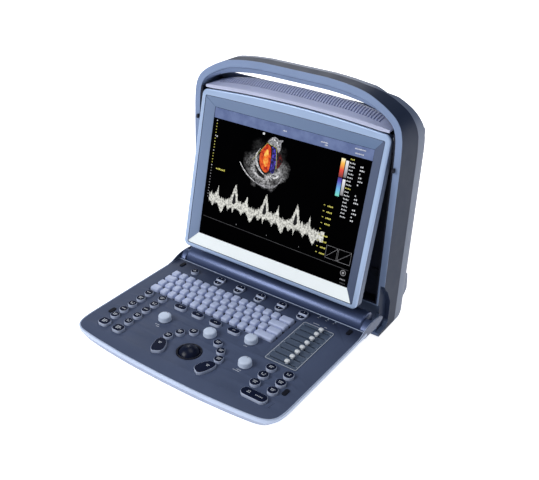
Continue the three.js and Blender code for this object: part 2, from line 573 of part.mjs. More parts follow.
const THUMB_LEAF = [[-1, -17], [4.2, -13.5], [9.8, -1.5], [11.8, 9], [10, 15.8], [1.5, 17.2], [-5.5, 12.5],
  [-12.3, -1.5], [-12, -9.5]];
const POWER = [-138.8, 22.1];
const SOFT_X = [0, 1, 2, 3, 4].map((i) => -84 + i * 43.2);
const SOFT_Y = 24;
const SOFT_HALF = [8, 11];

// keyboard mat: a thin sheet with the letter keys standing on it
const keyRows = KEY_ROWS.flatMap(([firstW, count], row) => {
  const y = KEYS_Y - row * KEY_ROW_PITCH;
  const start = KEYS_X[0] + firstW + KEY_PITCH - KEY_W;
  const end = start + count * KEY_PITCH;
  const equal = Array.from({ length: count }, (_, i) => [start + i * KEY_PITCH + KEY_W / 2, y, KEY_W]);
  return [[KEYS_X[0] + firstW / 2, y, firstW], ...equal, [(end + KEYS_X[1]) / 2, y, KEYS_X[1] - end]];
});
const MAT_X = [KEYS_X[0] - 3, KEYS_X[1] + 3];
const MAT_Y = [KEYS_Y - (KEY_ROWS.length - 1) * KEY_ROW_PITCH - 10, KEYS_Y + 10];
function keyCap(x, y, halfX, halfY) {
  const ring = (shrink, z) => {
    const [a, b] = [halfX - shrink, halfY - shrink];
    return [[x - a, y - b, z], [x + a, y - b, z], [x + a, y + b, z], [x - a, y + b, z]];
  };
  return loft([ring(0, DECK_TOP - 4), ring(1.6, KEY_TOP)]);
}
const letterKeys = keyRows.map(([x, y, width]) => keyCap(x, y, width / 2, KEY_D / 2));
const mat = block(MAT_X[0], MAT_X[1], MAT_Y[0], MAT_Y[1], DECK_TOP - 5.5, DECK_TOP - 2.5);
place(deck, 'keyboard', join(mat, ...letterKeys), keyGrey);

// rubber keypads: one moulded sheet under the panel for each group of keys
function keypad(x0, x1, y0, y1, outlines) {
  const sheet = block(x0, x1, y0, y1, MAT_TOP - MAT_T, MAT_TOP);
  return join(sheet, ...outlines.map((points) => prism('z', points, MAT_TOP - 1, KEY_TOP)));
}
place(deck, 'mode_keypad', keypad(-166, -116, -196, -72, modeOutlines), keyGrey);
const functionOutlines = [...arcOutlines, ...ovalKeys.map((at) => moved(oval(22.5, 11.5), at))];
let functionPad = keypad(-98, 50, -92, -74, functionOutlines.slice(6));
functionPad = join(functionPad, keypad(-58, 58, -128, -115, functionOutlines.slice(4, 6)),
  keypad(33, 58, -160, -114, functionOutlines.filter((_, i) => i === 0 || i === 2)),
  keypad(-58, -33, -160, -114, functionOutlines.filter((_, i) => i === 1 || i === 3)),
  block(20, 34, -116, -90, MAT_TOP - MAT_T, MAT_TOP));
functionPad = cut(functionPad, rod('z', ...KNOBS[1], 5, 20, 60, 12));
place(deck, 'function_keypad', functionPad, keyGrey);
const rightOutlines = rightKeys.map((key) => moved(disc(key.r), key.at));
place(deck, 'right_keypad', keypad(115, 166, -172, -111, rightOutlines), keyGrey);

// sprung keys that move on their own
const freeKeys = [
  { name: 'freeze_key', points: moved(oval(44, 17), FREEZE) },
  { name: 'thumb_key_left', points: THUMB_LEAF.map(([x, y]) => [-THUMB[0] - x, THUMB[1] + y]).reverse() },
  { name: 'thumb_key_right', points: moved(THUMB_LEAF, THUMB) },
  { name: 'power_button', points: moved(disc(7), POWER) },
];
freeKeys.forEach(({ name, points }) => {
  const cap = prism('z', points, DECK_TOP - PANEL_T + 0.2, KEY_TOP);
  const flange = prism('z', inset(points, -1.4), MAT_TOP - 1.4, MAT_TOP);
  place(deck, name, join(cap, flange, prism('z', inset(points, 1), MAT_TOP - 0.5, DECK_TOP)), keyGrey);
});

// five rockers along the back, each tipping forwards and backwards
SOFT_X.forEach((x, i) => {
  const [hx, hy] = SOFT_HALF;
  const top = [[SOFT_Y - hy, KEY_TOP - 0.5], [SOFT_Y - 3, KEY_TOP - 2], [SOFT_Y + 3, KEY_TOP - 2],
    [SOFT_Y + hy, KEY_TOP - 0.5]];
  const under = [[SOFT_Y + hy - 0.6, 37], [SOFT_Y, 35], [SOFT_Y - hy + 0.6, 37]];
  const rocker = prism('x', [...top, ...under], x - hx, x + hx);
  place(deck, `soft_rocker_${i + 1}`, rocker, keyGrey);
});

// trackball in a dark ring
const cupOuter = join(rod('z', ...TRACKBALL, 20, 32, DECK_TOP + 1.2, 20, 18.4),
  rod('z', ...TRACKBALL, 23, 18, 34, 20));
const cupHollow = new THREE.SphereGeometry(BALL_R + 0.8, 16, 10);
cupHollow.translate(TRACKBALL[0], TRACKBALL[1], DECK_TOP - 10);
const cup = cut(cupOuter, toSolid(cupHollow), rod('z', ...TRACKBALL, BALL_R - 2, DECK_TOP - 4, 60, 20),
  rod('z', ...TRACKBALL, 6, 10, 30, 12));
place(deck, 'trackball_cup', cup, rubber);
const ball = new THREE.SphereGeometry(BALL_R, 16, 12);
ball.rotateX(Math.PI / 2);
ball.translate(TRACKBALL[0], TRACKBALL[1], DECK_TOP - 10);
place(deck, 'trackball', toSolid(ball), ballNavy);

// rotary knobs with a shaft through the panel
KNOBS.forEach(([x, y], i) => {
  const cap = rod('z', x, y, KNOB_R, DECK_TOP + GAP, KNOB_TOP, 20, KNOB_R - 0.8);
  place(deck, `rotary_knob_${i + 1}`, join(cap, rod('z', x, y, 3, DECK_TOP - 8, KNOB_TOP - 2, 10)), knobGrey);
});

// depth-gain sliders on their own plate
const slotY = Array.from({ length: TGC_SLOTS }, (_, i) => TGC_Y + (i - (TGC_SLOTS - 1) / 2) * TGC_PITCH);
const platePlan = roundedRect(TGC_X - TGC_HALF[0], TGC_X + TGC_HALF[0],
  TGC_Y - TGC_HALF[1], TGC_Y + TGC_HALF[1], 4);
let plate = prism('z', platePlan, DECK_TOP - 1.6, DECK_TOP + 0.4);
slotY.forEach((y) => {
  plate = plate.subtract(block(TGC_X - TGC_TRAVEL / 2, TGC_X + TGC_TRAVEL / 2, y - 1.5, y + 1.5, 30, 50));
});
place(deck, 'slider_plate', plate, slate);
slotY.forEach((y, i) => {
  const ring = (hx, hy, z) => [[TGC_CAP_X - hx, y - hy, z], [TGC_CAP_X + hx, y - hy, z],
    [TGC_CAP_X + hx, y + hy, z], [TGC_CAP_X - hx, y + hy, z]];
  const cap = loft([ring(4.2, 3.6, DECK_TOP + 0.8), ring(4.2, 3.6, KEY_TOP), ring(2.8, 3, KEY_TOP + 2)]);
  const stem = block(TGC_CAP_X - 2, TGC_CAP_X + 2, y - 1, y + 1, DECK_TOP - 7, DECK_TOP + 2);
  place(deck, `gain_slider_${i + 1}`, join(cap, stem), knobGrey);
});

// status light strip: one clear bar under the panel with three domes through it
const LIGHTS = [[113.2, 42], [128.3, 42], [142.3, 42]];
const lights = LIGHTS.map(([x, y]) => rod('z', x, y, 1.7, MAT_TOP - 1.5, DECK_TOP + 0.5, 8));
place(deck, 'status_lights', join(block(109, 147, 41, 42.9, MAT_TOP - 2, MAT_TOP), ...lights), knobGrey);

// rubber pads that the closed deck rests on
const PADS = [['rear', 174, 30.5], ['front', 171.5, -152.5]];
PADS.forEach(([end, x, y]) => sides.forEach(([side, s]) => {
  const pad = roundedRect(s * x - 3.6, s * x + 3.6, y - 7.2, y + 7.2, 2.6);
  place(deck, `cover_pad_${end}_${side}`, prism('z', pad, DECK_TOP + 0.05, DECK_TOP + 1.8), rubber);
}));

// the dark top panel, with a hole for every control
let panel = prism('z', panelPlan, DECK_TOP - PANEL_T, DECK_TOP);
panel = cut(panel, block(MAT_X[0] + 1, MAT_X[1] - 1, MAT_Y[0] + 1, MAT_Y[1] - 1, 30, 50),
  block(MAT_X[0] - GAP, MAT_X[1] + GAP, MAT_Y[0] - GAP, MAT_Y[1] + GAP, 30, DECK_TOP - 2.2),
  ...[...modeOutlines, ...functionOutlines, ...rightOutlines, ...freeKeys.map((key) => key.points)]
    .map((points) => prism('z', inset(points, -KEY_GAP), 30, 50)),
  ...SOFT_X.map((x) => block(x - SOFT_HALF[0] - KEY_GAP, x + SOFT_HALF[0] + KEY_GAP,
    SOFT_Y - SOFT_HALF[1] - 0.8, SOFT_Y + SOFT_HALF[1] + 0.8, 30, 50)),
  ...KNOBS.map(([x, y]) => rod('z', x, y, 3.4, 30, 50, 10)),
  ...LIGHTS.map(([x, y]) => rod('z', x, y, 2, 30, 50, 8)),
  rod('z', ...TRACKBALL, 20.6, 30, 50, 20),
  prism('z', inset(platePlan, -GAP), DECK_TOP - 1.9, 50),
  ...slotY.map((y) => block(TGC_X - TGC_TRAVEL / 2, TGC_X + TGC_TRAVEL / 2, y - 1.5, y + 1.5, 30, 50)));
place(deck, 'deck_panel', panel, slate);

export default scanner;
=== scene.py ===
"""Portable ultrasound scanner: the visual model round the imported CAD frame.

Pieces are drawn in millimetres in the CAD frame and turned into metres when their mesh is made.
+X is the viewer's right, +Y goes away from the viewer and +Z up.
"""
import math

import bmesh
import bpy
from mathutils import Matrix, Vector


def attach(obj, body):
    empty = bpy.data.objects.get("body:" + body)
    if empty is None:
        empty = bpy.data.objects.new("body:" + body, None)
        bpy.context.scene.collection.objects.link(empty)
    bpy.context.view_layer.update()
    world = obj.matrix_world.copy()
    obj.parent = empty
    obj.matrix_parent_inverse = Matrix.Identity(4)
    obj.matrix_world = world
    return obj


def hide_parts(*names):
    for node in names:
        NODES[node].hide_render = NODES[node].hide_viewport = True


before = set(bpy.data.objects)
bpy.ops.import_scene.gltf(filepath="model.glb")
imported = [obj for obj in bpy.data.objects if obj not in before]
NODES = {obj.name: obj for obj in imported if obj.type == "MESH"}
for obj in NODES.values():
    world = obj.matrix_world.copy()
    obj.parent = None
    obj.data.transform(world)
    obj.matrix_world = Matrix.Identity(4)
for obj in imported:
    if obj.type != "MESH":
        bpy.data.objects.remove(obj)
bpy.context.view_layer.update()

MM = 0.001

# -------- dimensions shared with the CAD, in mm
LIP_Y = 98
DECK_TOP = 42
DECK_BELLY = 5
BELLY = (165, -198, 35, 14)            # half width, front, rear and corner radius of the belly
DECK_FRONT = -229.5
DECK_REAR = 47.5
DECK_HALF = 197.5
RIM = 2
GAP = 0.3
PANEL_T = 3.2
KEY_TOP = 47
KEY_FOOT = 37.5
KEY_GAP = 0.5
BARREL = (72, 39)
BARREL_R = 22
BARREL_HALF = 184
KEY_PITCH = 16.5
KEY_W = 13.9
KEY_D = 15.2
KEY_ROW_PITCH = 18.5
KEYS_X = (-167.6, 87.8)
KEYS_Y = -3
KEY_ROWS = ((KEY_W, 13), (21.4, 12), (KEY_W, 13), (18.9, 12))
MODE_COLUMNS = (-156, -125.8)
MODE_FIRST_Y = -80.5
MODE_PITCH = 20.3
MODE_LAST_Y = -185
ARC = ((50.4, -152.3), (41, -134.4), (24.5, -120.5))
ARC_R = 7.6
ARC_FLAT = 5.8
OVAL_X = tuple(-85.5 + 36.9 * i for i in range(4))
OVAL_Y = -81
RIGHT_X = (125, 156)
RIGHT_Y = (-121, -142, -163)
FREEZE = (140, -186.5)
THUMB = (45, -180.5)
THUMB_LEAF = ((-1, -17), (4.2, -13.5), (9.8, -1.5), (11.8, 9), (10, 15.8), (1.5, 17.2), (-5.5, 12.5),
              (-12.3, -1.5), (-12, -9.5))
POWER = (-138.8, 22.1)
SOFT_X = tuple(-84 + 43.2 * i for i in range(5))
SOFT_Y = 24
SOFT_SIZE = (16, 22, 6.5)              # width, depth and corner radius
MODE_SIZE = (14.8, 14.8, 7.3)
OVAL_SIZE = (22.5, 11.5, 5.7)
RIGHT_SIZE = (16.4, 16.4, 8.1)
FREEZE_SIZE = (44, 17, 8.4)
POWER_SIZE = (14, 14, 6.9)
TRACKBALL = (0, -161.5)
BALL_R = 19
BALL_Z = DECK_TOP - 10
KNOBS = ((-85.4, -119.9), (-0.7, -109.3), (61.1, -83.5), (87.6, -136.2))
KNOB_TOP = 52.5
TGC = (128.5, -45.2)
TGC_HALF = (29, 59)
TGC_PITCH = 14.3
TGC_TRAVEL = 46
TGC_CAP_X = 136.5
SLOT_Y = tuple(TGC[1] + (i - 3.5) * TGC_PITCH for i in range(8))
LIGHTS = ((113.2, 42), (128.3, 42), (142.3, 42))
VIEW_W = 304.1
VIEW_H = 228.1
SCREEN_D = -1.7
BEZEL = (-177.5, 177.5, -28.5, 255)
BEZEL_ARCH = 8
CREASE = (-168, 168, -20, 244)
HOOD_HALF = 172
HOOD_FRONT = 98.8
HOOD_REAR = 140.3

HINGE = (53.5, 108)                    # y and z of the foot of the tilted display
LEAN = math.radians(-12)
SHIFT = 3.5                            # puts the middle of the whole footprint over the origin
PLACED = Matrix.Translation((0, SHIFT * MM, 0))
TILTED = PLACED @ Matrix.Translation(Vector((0, *HINGE)) * MM) @ Matrix.Rotation(LEAN, 4, "X")

# -------- outlines


def rounded(x0, x1, y0, y1, radius, steps=6):
    """A rectangle with round corners, anticlockwise, as [x, y] points."""
    corners = ((x1 - radius, y1 - radius), (x0 + radius, y1 - radius),
               (x0 + radius, y0 + radius), (x1 - radius, y0 + radius))
    points = []
    for corner, (cx, cy) in enumerate(corners):
        for i in range(steps + 1):
            angle = (corner + i / steps) * math.pi / 2
            points.append((cx + radius * math.cos(angle), cy + radius * math.sin(angle)))
    return points


def plan(width, depth, radius, inset=0.0, steps=6):
    """A rounded rectangle about the origin, drawn in by inset."""
    half_w, half_d = width / 2 - inset, depth / 2 - inset
    return rounded(-half_w, half_w, -half_d, half_d, max(radius - inset, 0.15), steps)


def moved(points, centre, turn=0.0):
    c, s = math.cos(turn), math.sin(turn)
    return [(centre[0] + x * c - y * s, centre[1] + x * s + y * c) for x, y in points]


def at_height(points, z):
    return [(x, y, z) for x, y in points]


def drawn_in(points, distance):
    """A closed outline moved inwards by the same distance everywhere."""
    count = len(points)
    area = sum(points[i][0] * points[(i + 1) % count][1] - points[(i + 1) % count][0] * points[i][1]
               for i in range(count))
    side = 1 if area > 0 else -1
    result = []
    for i, (x, y) in enumerate(points):
        before = (Vector((x, y)) - Vector(points[i - 1])).normalized()
        after = (Vector(points[(i + 1) % count]) - Vector((x, y))).normalized()
        normal = Vector((-(before.y + after.y), before.x + after.x)).normalized() * side
        reach = distance / max(0.3, (normal.x * -before.y + normal.y * before.x) * side)
        result.append((x + normal.x * reach, y + normal.y * reach))
    return result


def smooth(points, steps):
    """A finer line through the same points, along a centripetal curve."""
    path = [Vector(p) for p in points]
    path = [2 * path[0] - path[1]] + path + [2 * path[-1] - path[-2]]
    result = []
    for i in range(1, len(path) - 2):
        p0, p1, p2, p3 = path[i - 1:i + 3]
        t1 = (p1 - p0).length ** 0.5
        t2 = t1 + (p2 - p1).length ** 0.5
        t3 = t2 + (p3 - p2).length ** 0.5
        for k in range(steps):
            t = t1 + (t2 - t1) * k / steps
            a1 = p0 * ((t1 - t) / t1) + p1 * (t / t1)
            a2 = p1 * ((t2 - t) / (t2 - t1)) + p2 * ((t - t1) / (t2 - t1))
            a3 = p2 * ((t3 - t) / (t3 - t2)) + p3 * ((t - t2) / (t3 - t2))
            b1 = a1 * ((t2 - t) / t2) + a2 * (t / t2)
            b2 = a2 * ((t3 - t) / (t3 - t1)) + a3 * ((t - t1) / (t3 - t1))
            result.append(tuple(b1 * ((t2 - t) / (t2 - t1)) + b2 * ((t - t1) / (t2 - t1))))
    result.append(tuple(path[-2]))
    return result


def along(stops, x):
    """Height of a line through stops at x."""
    for (x0, h0), (x1, h1) in zip(stops, stops[1:]):
        if x <= x1:
            return h0 + (h1 - h0) * max(0.0, x - x0) / (x1 - x0)
    return stops[-1][1]


def mirrored(half):
    return half + [(-x, v) for x, v in reversed(half) if x > 0]


def deck_outline():
    corner = [(0, DECK_FRONT), (60, DECK_FRONT + 0.9), (100, DECK_FRONT + 2.9), (150, DECK_FRONT + 7.1),
              (176, DECK_FRONT + 11.5), (186, DECK_FRONT + 17), (192.5, DECK_FRONT + 26.5),
              (195.5, DECK_FRONT + 41.5), (196.5, DECK_FRONT + 89.5), (DECK_HALF, DECK_FRONT + 217)]
    return mirrored(smooth(corner, 6) + [(DECK_HALF, DECK_REAR)])


# -------- forms and pieces


class Form:
    """The faces of one piece, in millimetres, each with the number of its material."""

    def __init__(self):
        self.points = []
        self.faces = []
        self.looks = []

    def face(self, indices, look):
        self.faces.append(indices)
        self.looks.append(look)

    def skin(self, rings, looks=0, closed=False):
        """A skin over rings of equal length, capped at both ends or closed into a loop."""
        start = len(self.points)
        count = len(rings[0])
        for ring in rings:
            self.points += ring
        bands = len(rings) if closed else len(rings) - 1
        look = [looks] * bands if isinstance(looks, int) else looks
        for k in range(bands):
            a = start + k * count
            b = start + (k + 1) % len(rings) * count
            for i in range(count):
                j = (i + 1) % count
                self.face([a + i, a + j, b + j, b + i], look[k])
        if not closed:
            self.face([start + i for i in reversed(range(count))], look[0])
            self.face([start + (len(rings) - 1) * count + i for i in range(count)], look[-1])

    def key(self, centre, outline, profile):
        """A key: outline(inset) gives the plan, profile lists (inset, z, look) from the foot to the top."""
        rings = [at_height(moved(outline(inset), centre), z) for inset, z, _ in profile]
        self.skin(rings, [look for _, _, look in profile[1:]])

    def turned(self, centre, profile, sides=48):
        """A body of revolution about a vertical axis; profile lists (radius, z)."""
        angles = [i / sides * math.tau for i in range(sides)]
        self.skin([[(centre[0] + radius * math.cos(a), centre[1] + radius * math.sin(a), z) for a in angles]
                   for radius, z in profile])

    def bar(self, path, width, low, high, look=0):
        """A flat strip in the plane of path's points, width across (one number, or one for each point)."""
        rings = []
        for i, point in enumerate(path):
            ahead = Vector(path[min(i + 1, len(path) - 1)]) - Vector(path[max(i - 1, 0)])
            across = Vector((-ahead.y, ahead.x)).normalized()
            half = (width if isinstance(width, (int, float)) else width[i]) / 2
            a = Vector(point) + across * half
            b = Vector(point) - across * half
            rings.append([(a.x, a.y, low), (b.x, b.y, low), (b.x, b.y, high), (a.x, a.y, high)])
        self.skin(rings, look)

    def dash(self, x, y, length, width, low, high, look=0):
        """A short mark along x, centred on x, y."""
        self.bar([(x - length / 2, y), (x + length / 2, y)], width, low, high, look)

    def slab(self, outline, low, high, look=0):
        self.skin([at_height(outline, low), at_height(outline, high)], look)


def finished(mesh, looks, angle=32.0):
    for look in looks:
        mesh.materials.append(look)
    mesh.shade_smooth()
    mesh.set_sharp_from_angle(angle=math.radians(angle))


def settle(name, mesh, body, nodes):
    piece = bpy.data.objects.new(name, mesh)
    bpy.context.scene.collection.objects.link(piece)
    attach(piece, body)
    if nodes:
        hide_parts(*nodes)
    return piece


def make(name, form, looks, body, nodes=(), turn=PLACED, angle=32.0):
    """Turns a form into a piece that rides on a body and stands for the CAD nodes named."""
    shape = bmesh.new()
    corners = [shape.verts.new(Vector(p) * MM) for p in form.points]
    for indices, look in zip(form.faces, form.looks):
        shape.faces.new([corners[i] for i in indices]).material_index = look
    bmesh.ops.remove_doubles(shape, verts=shape.verts, dist=0.01 * MM)
    bmesh.ops.recalc_face_normals(shape, faces=shape.faces)
    mesh = bpy.data.meshes.new(name)
    shape.to_mesh(mesh)
    shape.free()
    mesh.transform(turn)
    finished(mesh, looks, angle)
    return settle(name, mesh, body, nodes)


def plate(name, outlines, low, high, edge, look, body, nodes=()):
    """A flat plate with holes and softened edges; outlines are the outside and then the holes."""
    curve = bpy.data.curves.new(name, "CURVE")
    curve.dimensions = "2D"
    curve.fill_mode = "BOTH"
    curve.extrude = ((high - low) / 2 - edge) * MM
    curve.bevel_depth = edge * MM
    curve.bevel_resolution = 1
    curve.offset = -edge * MM
    for number, outline in enumerate(outlines):
        area = sum(outline[i - 1][0] * outline[i][1] - outline[i][0] * outline[i - 1][1]
                   for i in range(len(outline)))
        ordered = outline if (area > 0) == (number == 0) else outline[::-1]
        spline = curve.splines.new("POLY")
        spline.points.add(len(ordered) - 1)
        for point, (x, y) in zip(spline.points, ordered):
            point.co = (x * MM, y * MM, 0, 1)
        spline.use_cyclic_u = True
    carrier = bpy.data.objects.new(name, curve)
    bpy.context.scene.collection.objects.link(carrier)
    bpy.context.view_layer.update()
    mesh = bpy.data.meshes.new_from_object(carrier.evaluated_get(bpy.context.evaluated_depsgraph_get()))
    bpy.data.objects.remove(carrier)
    bpy.data.curves.remove(curve)
    mesh.name = name
    mesh.transform(PLACED @ Matrix.Translation((0, 0, (low + high) / 2 * MM)))
    shape = bmesh.new()
    shape.from_mesh(mesh)
    bmesh.ops.remove_doubles(shape, verts=shape.verts, dist=0.005 * MM)
    bmesh.ops.recalc_face_normals(shape, faces=shape.faces)
    shape.to_mesh(mesh)
    shape.free()
    mesh.materials.clear()
    finished(mesh, [look])
    return settle(name, mesh, body, nodes)


# -------- materials
FRAME_MIDDLE = 220                     # height of the middle of the case's front frame, mm
ECHO_MIDDLE = (-0.034, 0.262)          # the dark chamber of the echo picture: x and height, m
ECHO_SWAY = 0.045
ECHO_REACH = 0.06
ECHO_RING = ((0.0, 0.0), (0.018, 0.02), (0.024, 0.6), (0.031, 0.42), (0.038, 0.2), (0.047, 0.0),
             (ECHO_REACH, 0.0))
FLANK = (0.018, 0.028, 0.06)
LIP_BLUE = (0.2, 0.265, 0.42)
SLATE = (0.072, 0.095, 0.168)
# painted shade: the film colour near the hinge, where the case shades the deck
SLATE_REAR_SHADE = (0.032, 0.044, 0.09)
SLATE_LEFT = (0.045, 0.058, 0.1)


def node(tree, kind, **settings):
    made = tree.nodes.new(kind)
    for key, value in settings.items():
        setattr(made, key, value)
    return made


def noise(tree, place, scale, detail=3.0):
    """Noise over the piece's own coordinates; scale is in cells to the metre."""
    made = node(tree, "ShaderNodeTexNoise")
    made.inputs["Scale"].default_value = scale
    made.inputs["Detail"].default_value = detail
    tree.links.new(place.outputs["Object"], made.inputs["Vector"])
    return made.outputs["Fac"]


def blend_colours(tree, factor, first, second):
    """Mixes two colours, each a tuple or another node's output, by a varying factor."""
    made = node(tree, "ShaderNodeMix", data_type="RGBA")
    tree.links.new(factor, made.inputs[0])
    for socket, value in ((made.inputs[6], first), (made.inputs[7], second)):
        if isinstance(value, tuple):
            socket.default_value = (*value, 1)
        else:
            tree.links.new(value, socket)
    return made.outputs[2]


def span(tree, value, low, high, to_low=0.0, to_high=1.0):
    made = node(tree, "ShaderNodeMapRange")
    tree.links.new(value, made.inputs["Value"])
    made.inputs["From Min"].default_value = low
    made.inputs["From Max"].default_value = high
    made.inputs["To Min"].default_value = to_low
    made.inputs["To Max"].default_value = to_high
    return made.outputs["Result"]


def shade(colour, amount):
    return tuple(min(1.0, c * amount) for c in colour)


def start(name):
    look = bpy.data.materials.new(name)
    look.use_nodes = True
    tree = look.node_tree
    return look, tree, tree.nodes["Principled BSDF"], node(tree, "ShaderNodeTexCoord")


def surface(tree, shader, place, roughness, grain, grain_scale):
    """Fine moulded grain, and a gloss that varies a little over the surface."""
    smear = noise(tree, place, 45.0, 4.0)
    worn = span(tree, smear, 0.3, 0.7, roughness - 0.02, roughness + 0.03)
    tree.links.new(worn, shader.inputs["Roughness"])
    bump = node(tree, "ShaderNodeBump")
    bump.inputs["Strength"].default_value = grain
    bump.inputs["Distance"].default_value = 0.0002
    tree.links.new(noise(tree, place, grain_scale, 2.0), bump.inputs["Height"])
    tree.links.new(bump.outputs["Normal"], shader.inputs["Normal"])


def plastic(name, colour, roughness, grain=0.12, grain_scale=1400.0, mottle=0.05, metallic=0.0, coat=0.0,
            specular=0.5):
    """Moulded or painted plastic: a slightly uneven tone, fine grain and uneven gloss."""
    look, tree, shader, place = start(name)
    shader.inputs["Metallic"].default_value = metallic
    shader.inputs["Coat Weight"].default_value = coat
    shader.inputs["Specular IOR Level"].default_value = specular
    tree.links.new(cloudy(tree, place, 22.0, colour, mottle), shader.inputs["Base Color"])
    surface(tree, shader, place, roughness, grain, grain_scale)
    return look


def coordinate(tree, place, axis):
    split = node(tree, "ShaderNodeSeparateXYZ")
    tree.links.new(place.outputs["Object"], split.inputs[0])
    return split.outputs[axis]


def combined(tree, kind, operation, *values):
    """A maths node; each value is a constant triple or another node's output."""
    made = node(tree, kind, operation=operation)
    for socket, value in zip(made.inputs, values):
        if isinstance(value, tuple):
            socket.default_value = value
        else:
            tree.links.new(value, socket)
    return made.outputs


def vectors(tree, operation, *values):
    return combined(tree, "ShaderNodeVectorMath", operation, *values)


def cloudy(tree, place, scale, colour, amount):
    """A colour that drifts a little lighter and darker over the surface."""
    cloud = span(tree, noise(tree, place, scale, 5.0), 0.3, 0.7)
    return blend_colours(tree, cloud, shade(colour, 1 - amount), shade(colour, 1 + amount))


def frame_finish():
    """The front frame is painted pale blue on its lip and inside the grip, and is dark on its flanks."""
    look, tree, shader, place = start("frame_two_tone")
    dark = cloudy(tree, place, 22.0, FLANK, 0.05)
    pale = cloudy(tree, place, 22.0, LIP_BLUE, 0.04)
    outward = vectors(tree, "SUBTRACT", place.outputs["Object"], (0, 0, FRAME_MIDDLE * MM))
    across = vectors(tree, "MULTIPLY", outward[0], (1, 0, 1))
    normal = node(tree, "ShaderNodeNewGeometry").outputs["Normal"]
    facing = vectors(tree, "DOT_PRODUCT", normal, across[0])
    inner = span(tree, facing["Value"], 0.002, -0.002)
    lip = (LIP_Y + SHIFT) * MM
    near = span(tree, coordinate(tree, place, "Y"), lip + 1.4 * MM, lip + 1.0 * MM)
    either = combined(tree, "ShaderNodeMath", "MAXIMUM", inner, near)
    tree.links.new(blend_colours(tree, either[0], dark, pale), shader.inputs["Base Color"])
    shader.inputs["Specular IOR Level"].default_value = 0.1
    surface(tree, shader, place, 0.5, 0.08, 1400.0)
    return look


def panel_finish():
    """The deck's printed film: slate, with painted shade that darkens it towards the hinge, darker towards
    the left as well, with a fine matt texture.
    """
    look, tree, shader, place = start("slate_film_with_rear_shade")
    slate = cloudy(tree, place, 18.0, SLATE, 0.05)
    # painted shade: the film darkens towards the hinge
    back = span(tree, coordinate(tree, place, "Y"), 0.008, 0.036)
    darker = blend_colours(tree, back, slate, SLATE_REAR_SHADE)
    left = span(tree, coordinate(tree, place, "X"), 0.02, -0.19, 0.0, 0.35)
    tree.links.new(blend_colours(tree, left, darker, SLATE_LEFT), shader.inputs["Base Color"])
    shader.inputs["Specular IOR Level"].default_value = 0.22
    surface(tree, shader, place, 0.58, 0.1, 1800.0)
    return look


def glow(name, dark, light, scale, low=0.4, high=0.62):
    """A lit part of the screen picture, speckled between two colours."""
    look, tree, shader, place = start(name)
    shader.inputs["Base Color"].default_value = (0.002, 0.002, 0.003, 1)
    shader.inputs["Roughness"].default_value = 0.35
    shader.inputs["Specular IOR Level"].default_value = 0.1
    shader.inputs["Emission Strength"].default_value = 1.0
    speckle = span(tree, noise(tree, place, scale, 4.0), low, high)
    tree.links.new(blend_colours(tree, speckle, dark, light), shader.inputs["Emission Color"])
    return look


def ramp(tree, factor, stops):
    """The colour at a factor from 0 to 1 along stops of (position, colour)."""
    made = node(tree, "ShaderNodeValToRGB")
    elements = made.color_ramp.elements
    for element, (position, colour) in zip(elements, (stops[0], stops[-1])):
        element.position = position
        element.color = (*colour, 1)
    for position, colour in stops[1:-1]:
        elements.new(position).color = (*colour, 1)
    tree.links.new(factor, made.inputs["Fac"])
    return made.outputs["Color"]


def scale_glow(name, low, high, stops):
    """A colour scale on the screen that runs through stops from height low to height high."""
    look, tree, shader, place = start(name)
    shader.inputs["Base Color"].default_value = (0.002, 0.002, 0.003, 1)
    shader.inputs["Emission Strength"].default_value = 1.0
    height = span(tree, coordinate(tree, place, "Z"), low, high)
    tree.links.new(ramp(tree, height, stops), shader.inputs["Emission Color"])
    return look


def echo_glow():
    """Soft speckled tissue: a bright ring about a dark chamber that fades out at its outside."""
    look, tree, shader, place = start("lit_echo")
    shader.inputs["Base Color"].default_value = (0.0006, 0.0006, 0.0008, 1)
    shader.inputs["Specular IOR Level"].default_value = 0.0
    stir = node(tree, "ShaderNodeTexNoise")
    stir.inputs["Scale"].default_value = 48.0
    stir.inputs["Detail"].default_value = 4.0
    tree.links.new(place.outputs["Object"], stir.inputs["Vector"])
    sway = vectors(tree, "MULTIPLY_ADD", stir.outputs["Color"], (ECHO_SWAY, 0, ECHO_SWAY),
                   place.outputs["Object"])
    middle = (ECHO_MIDDLE[0] + ECHO_SWAY / 2, 0, ECHO_MIDDLE[1] + ECHO_SWAY / 2)
    squash = vectors(tree, "MULTIPLY", vectors(tree, "SUBTRACT", sway[0], middle)[0], (1.05, 0, 1.12))
    reach = span(tree, vectors(tree, "LENGTH", squash[0])["Value"], 0, ECHO_REACH)
    stops = [(radius / ECHO_REACH, (level, level, level * 1.03)) for radius, level in ECHO_RING]
    tree.links.new(ramp(tree, reach, stops), shader.inputs["Emission Color"])
    below = span(tree, coordinate(tree, place, "Z"), 0.278, 0.245, 0.05, 1.0)
    speckle = span(tree, noise(tree, place, 330, 4.0), 0.36, 0.66, 0.1, 1.3)
    light = combined(tree, "ShaderNodeMath", "MULTIPLY", below, speckle)
    tree.links.new(light[0], shader.inputs["Emission Strength"])
    return look


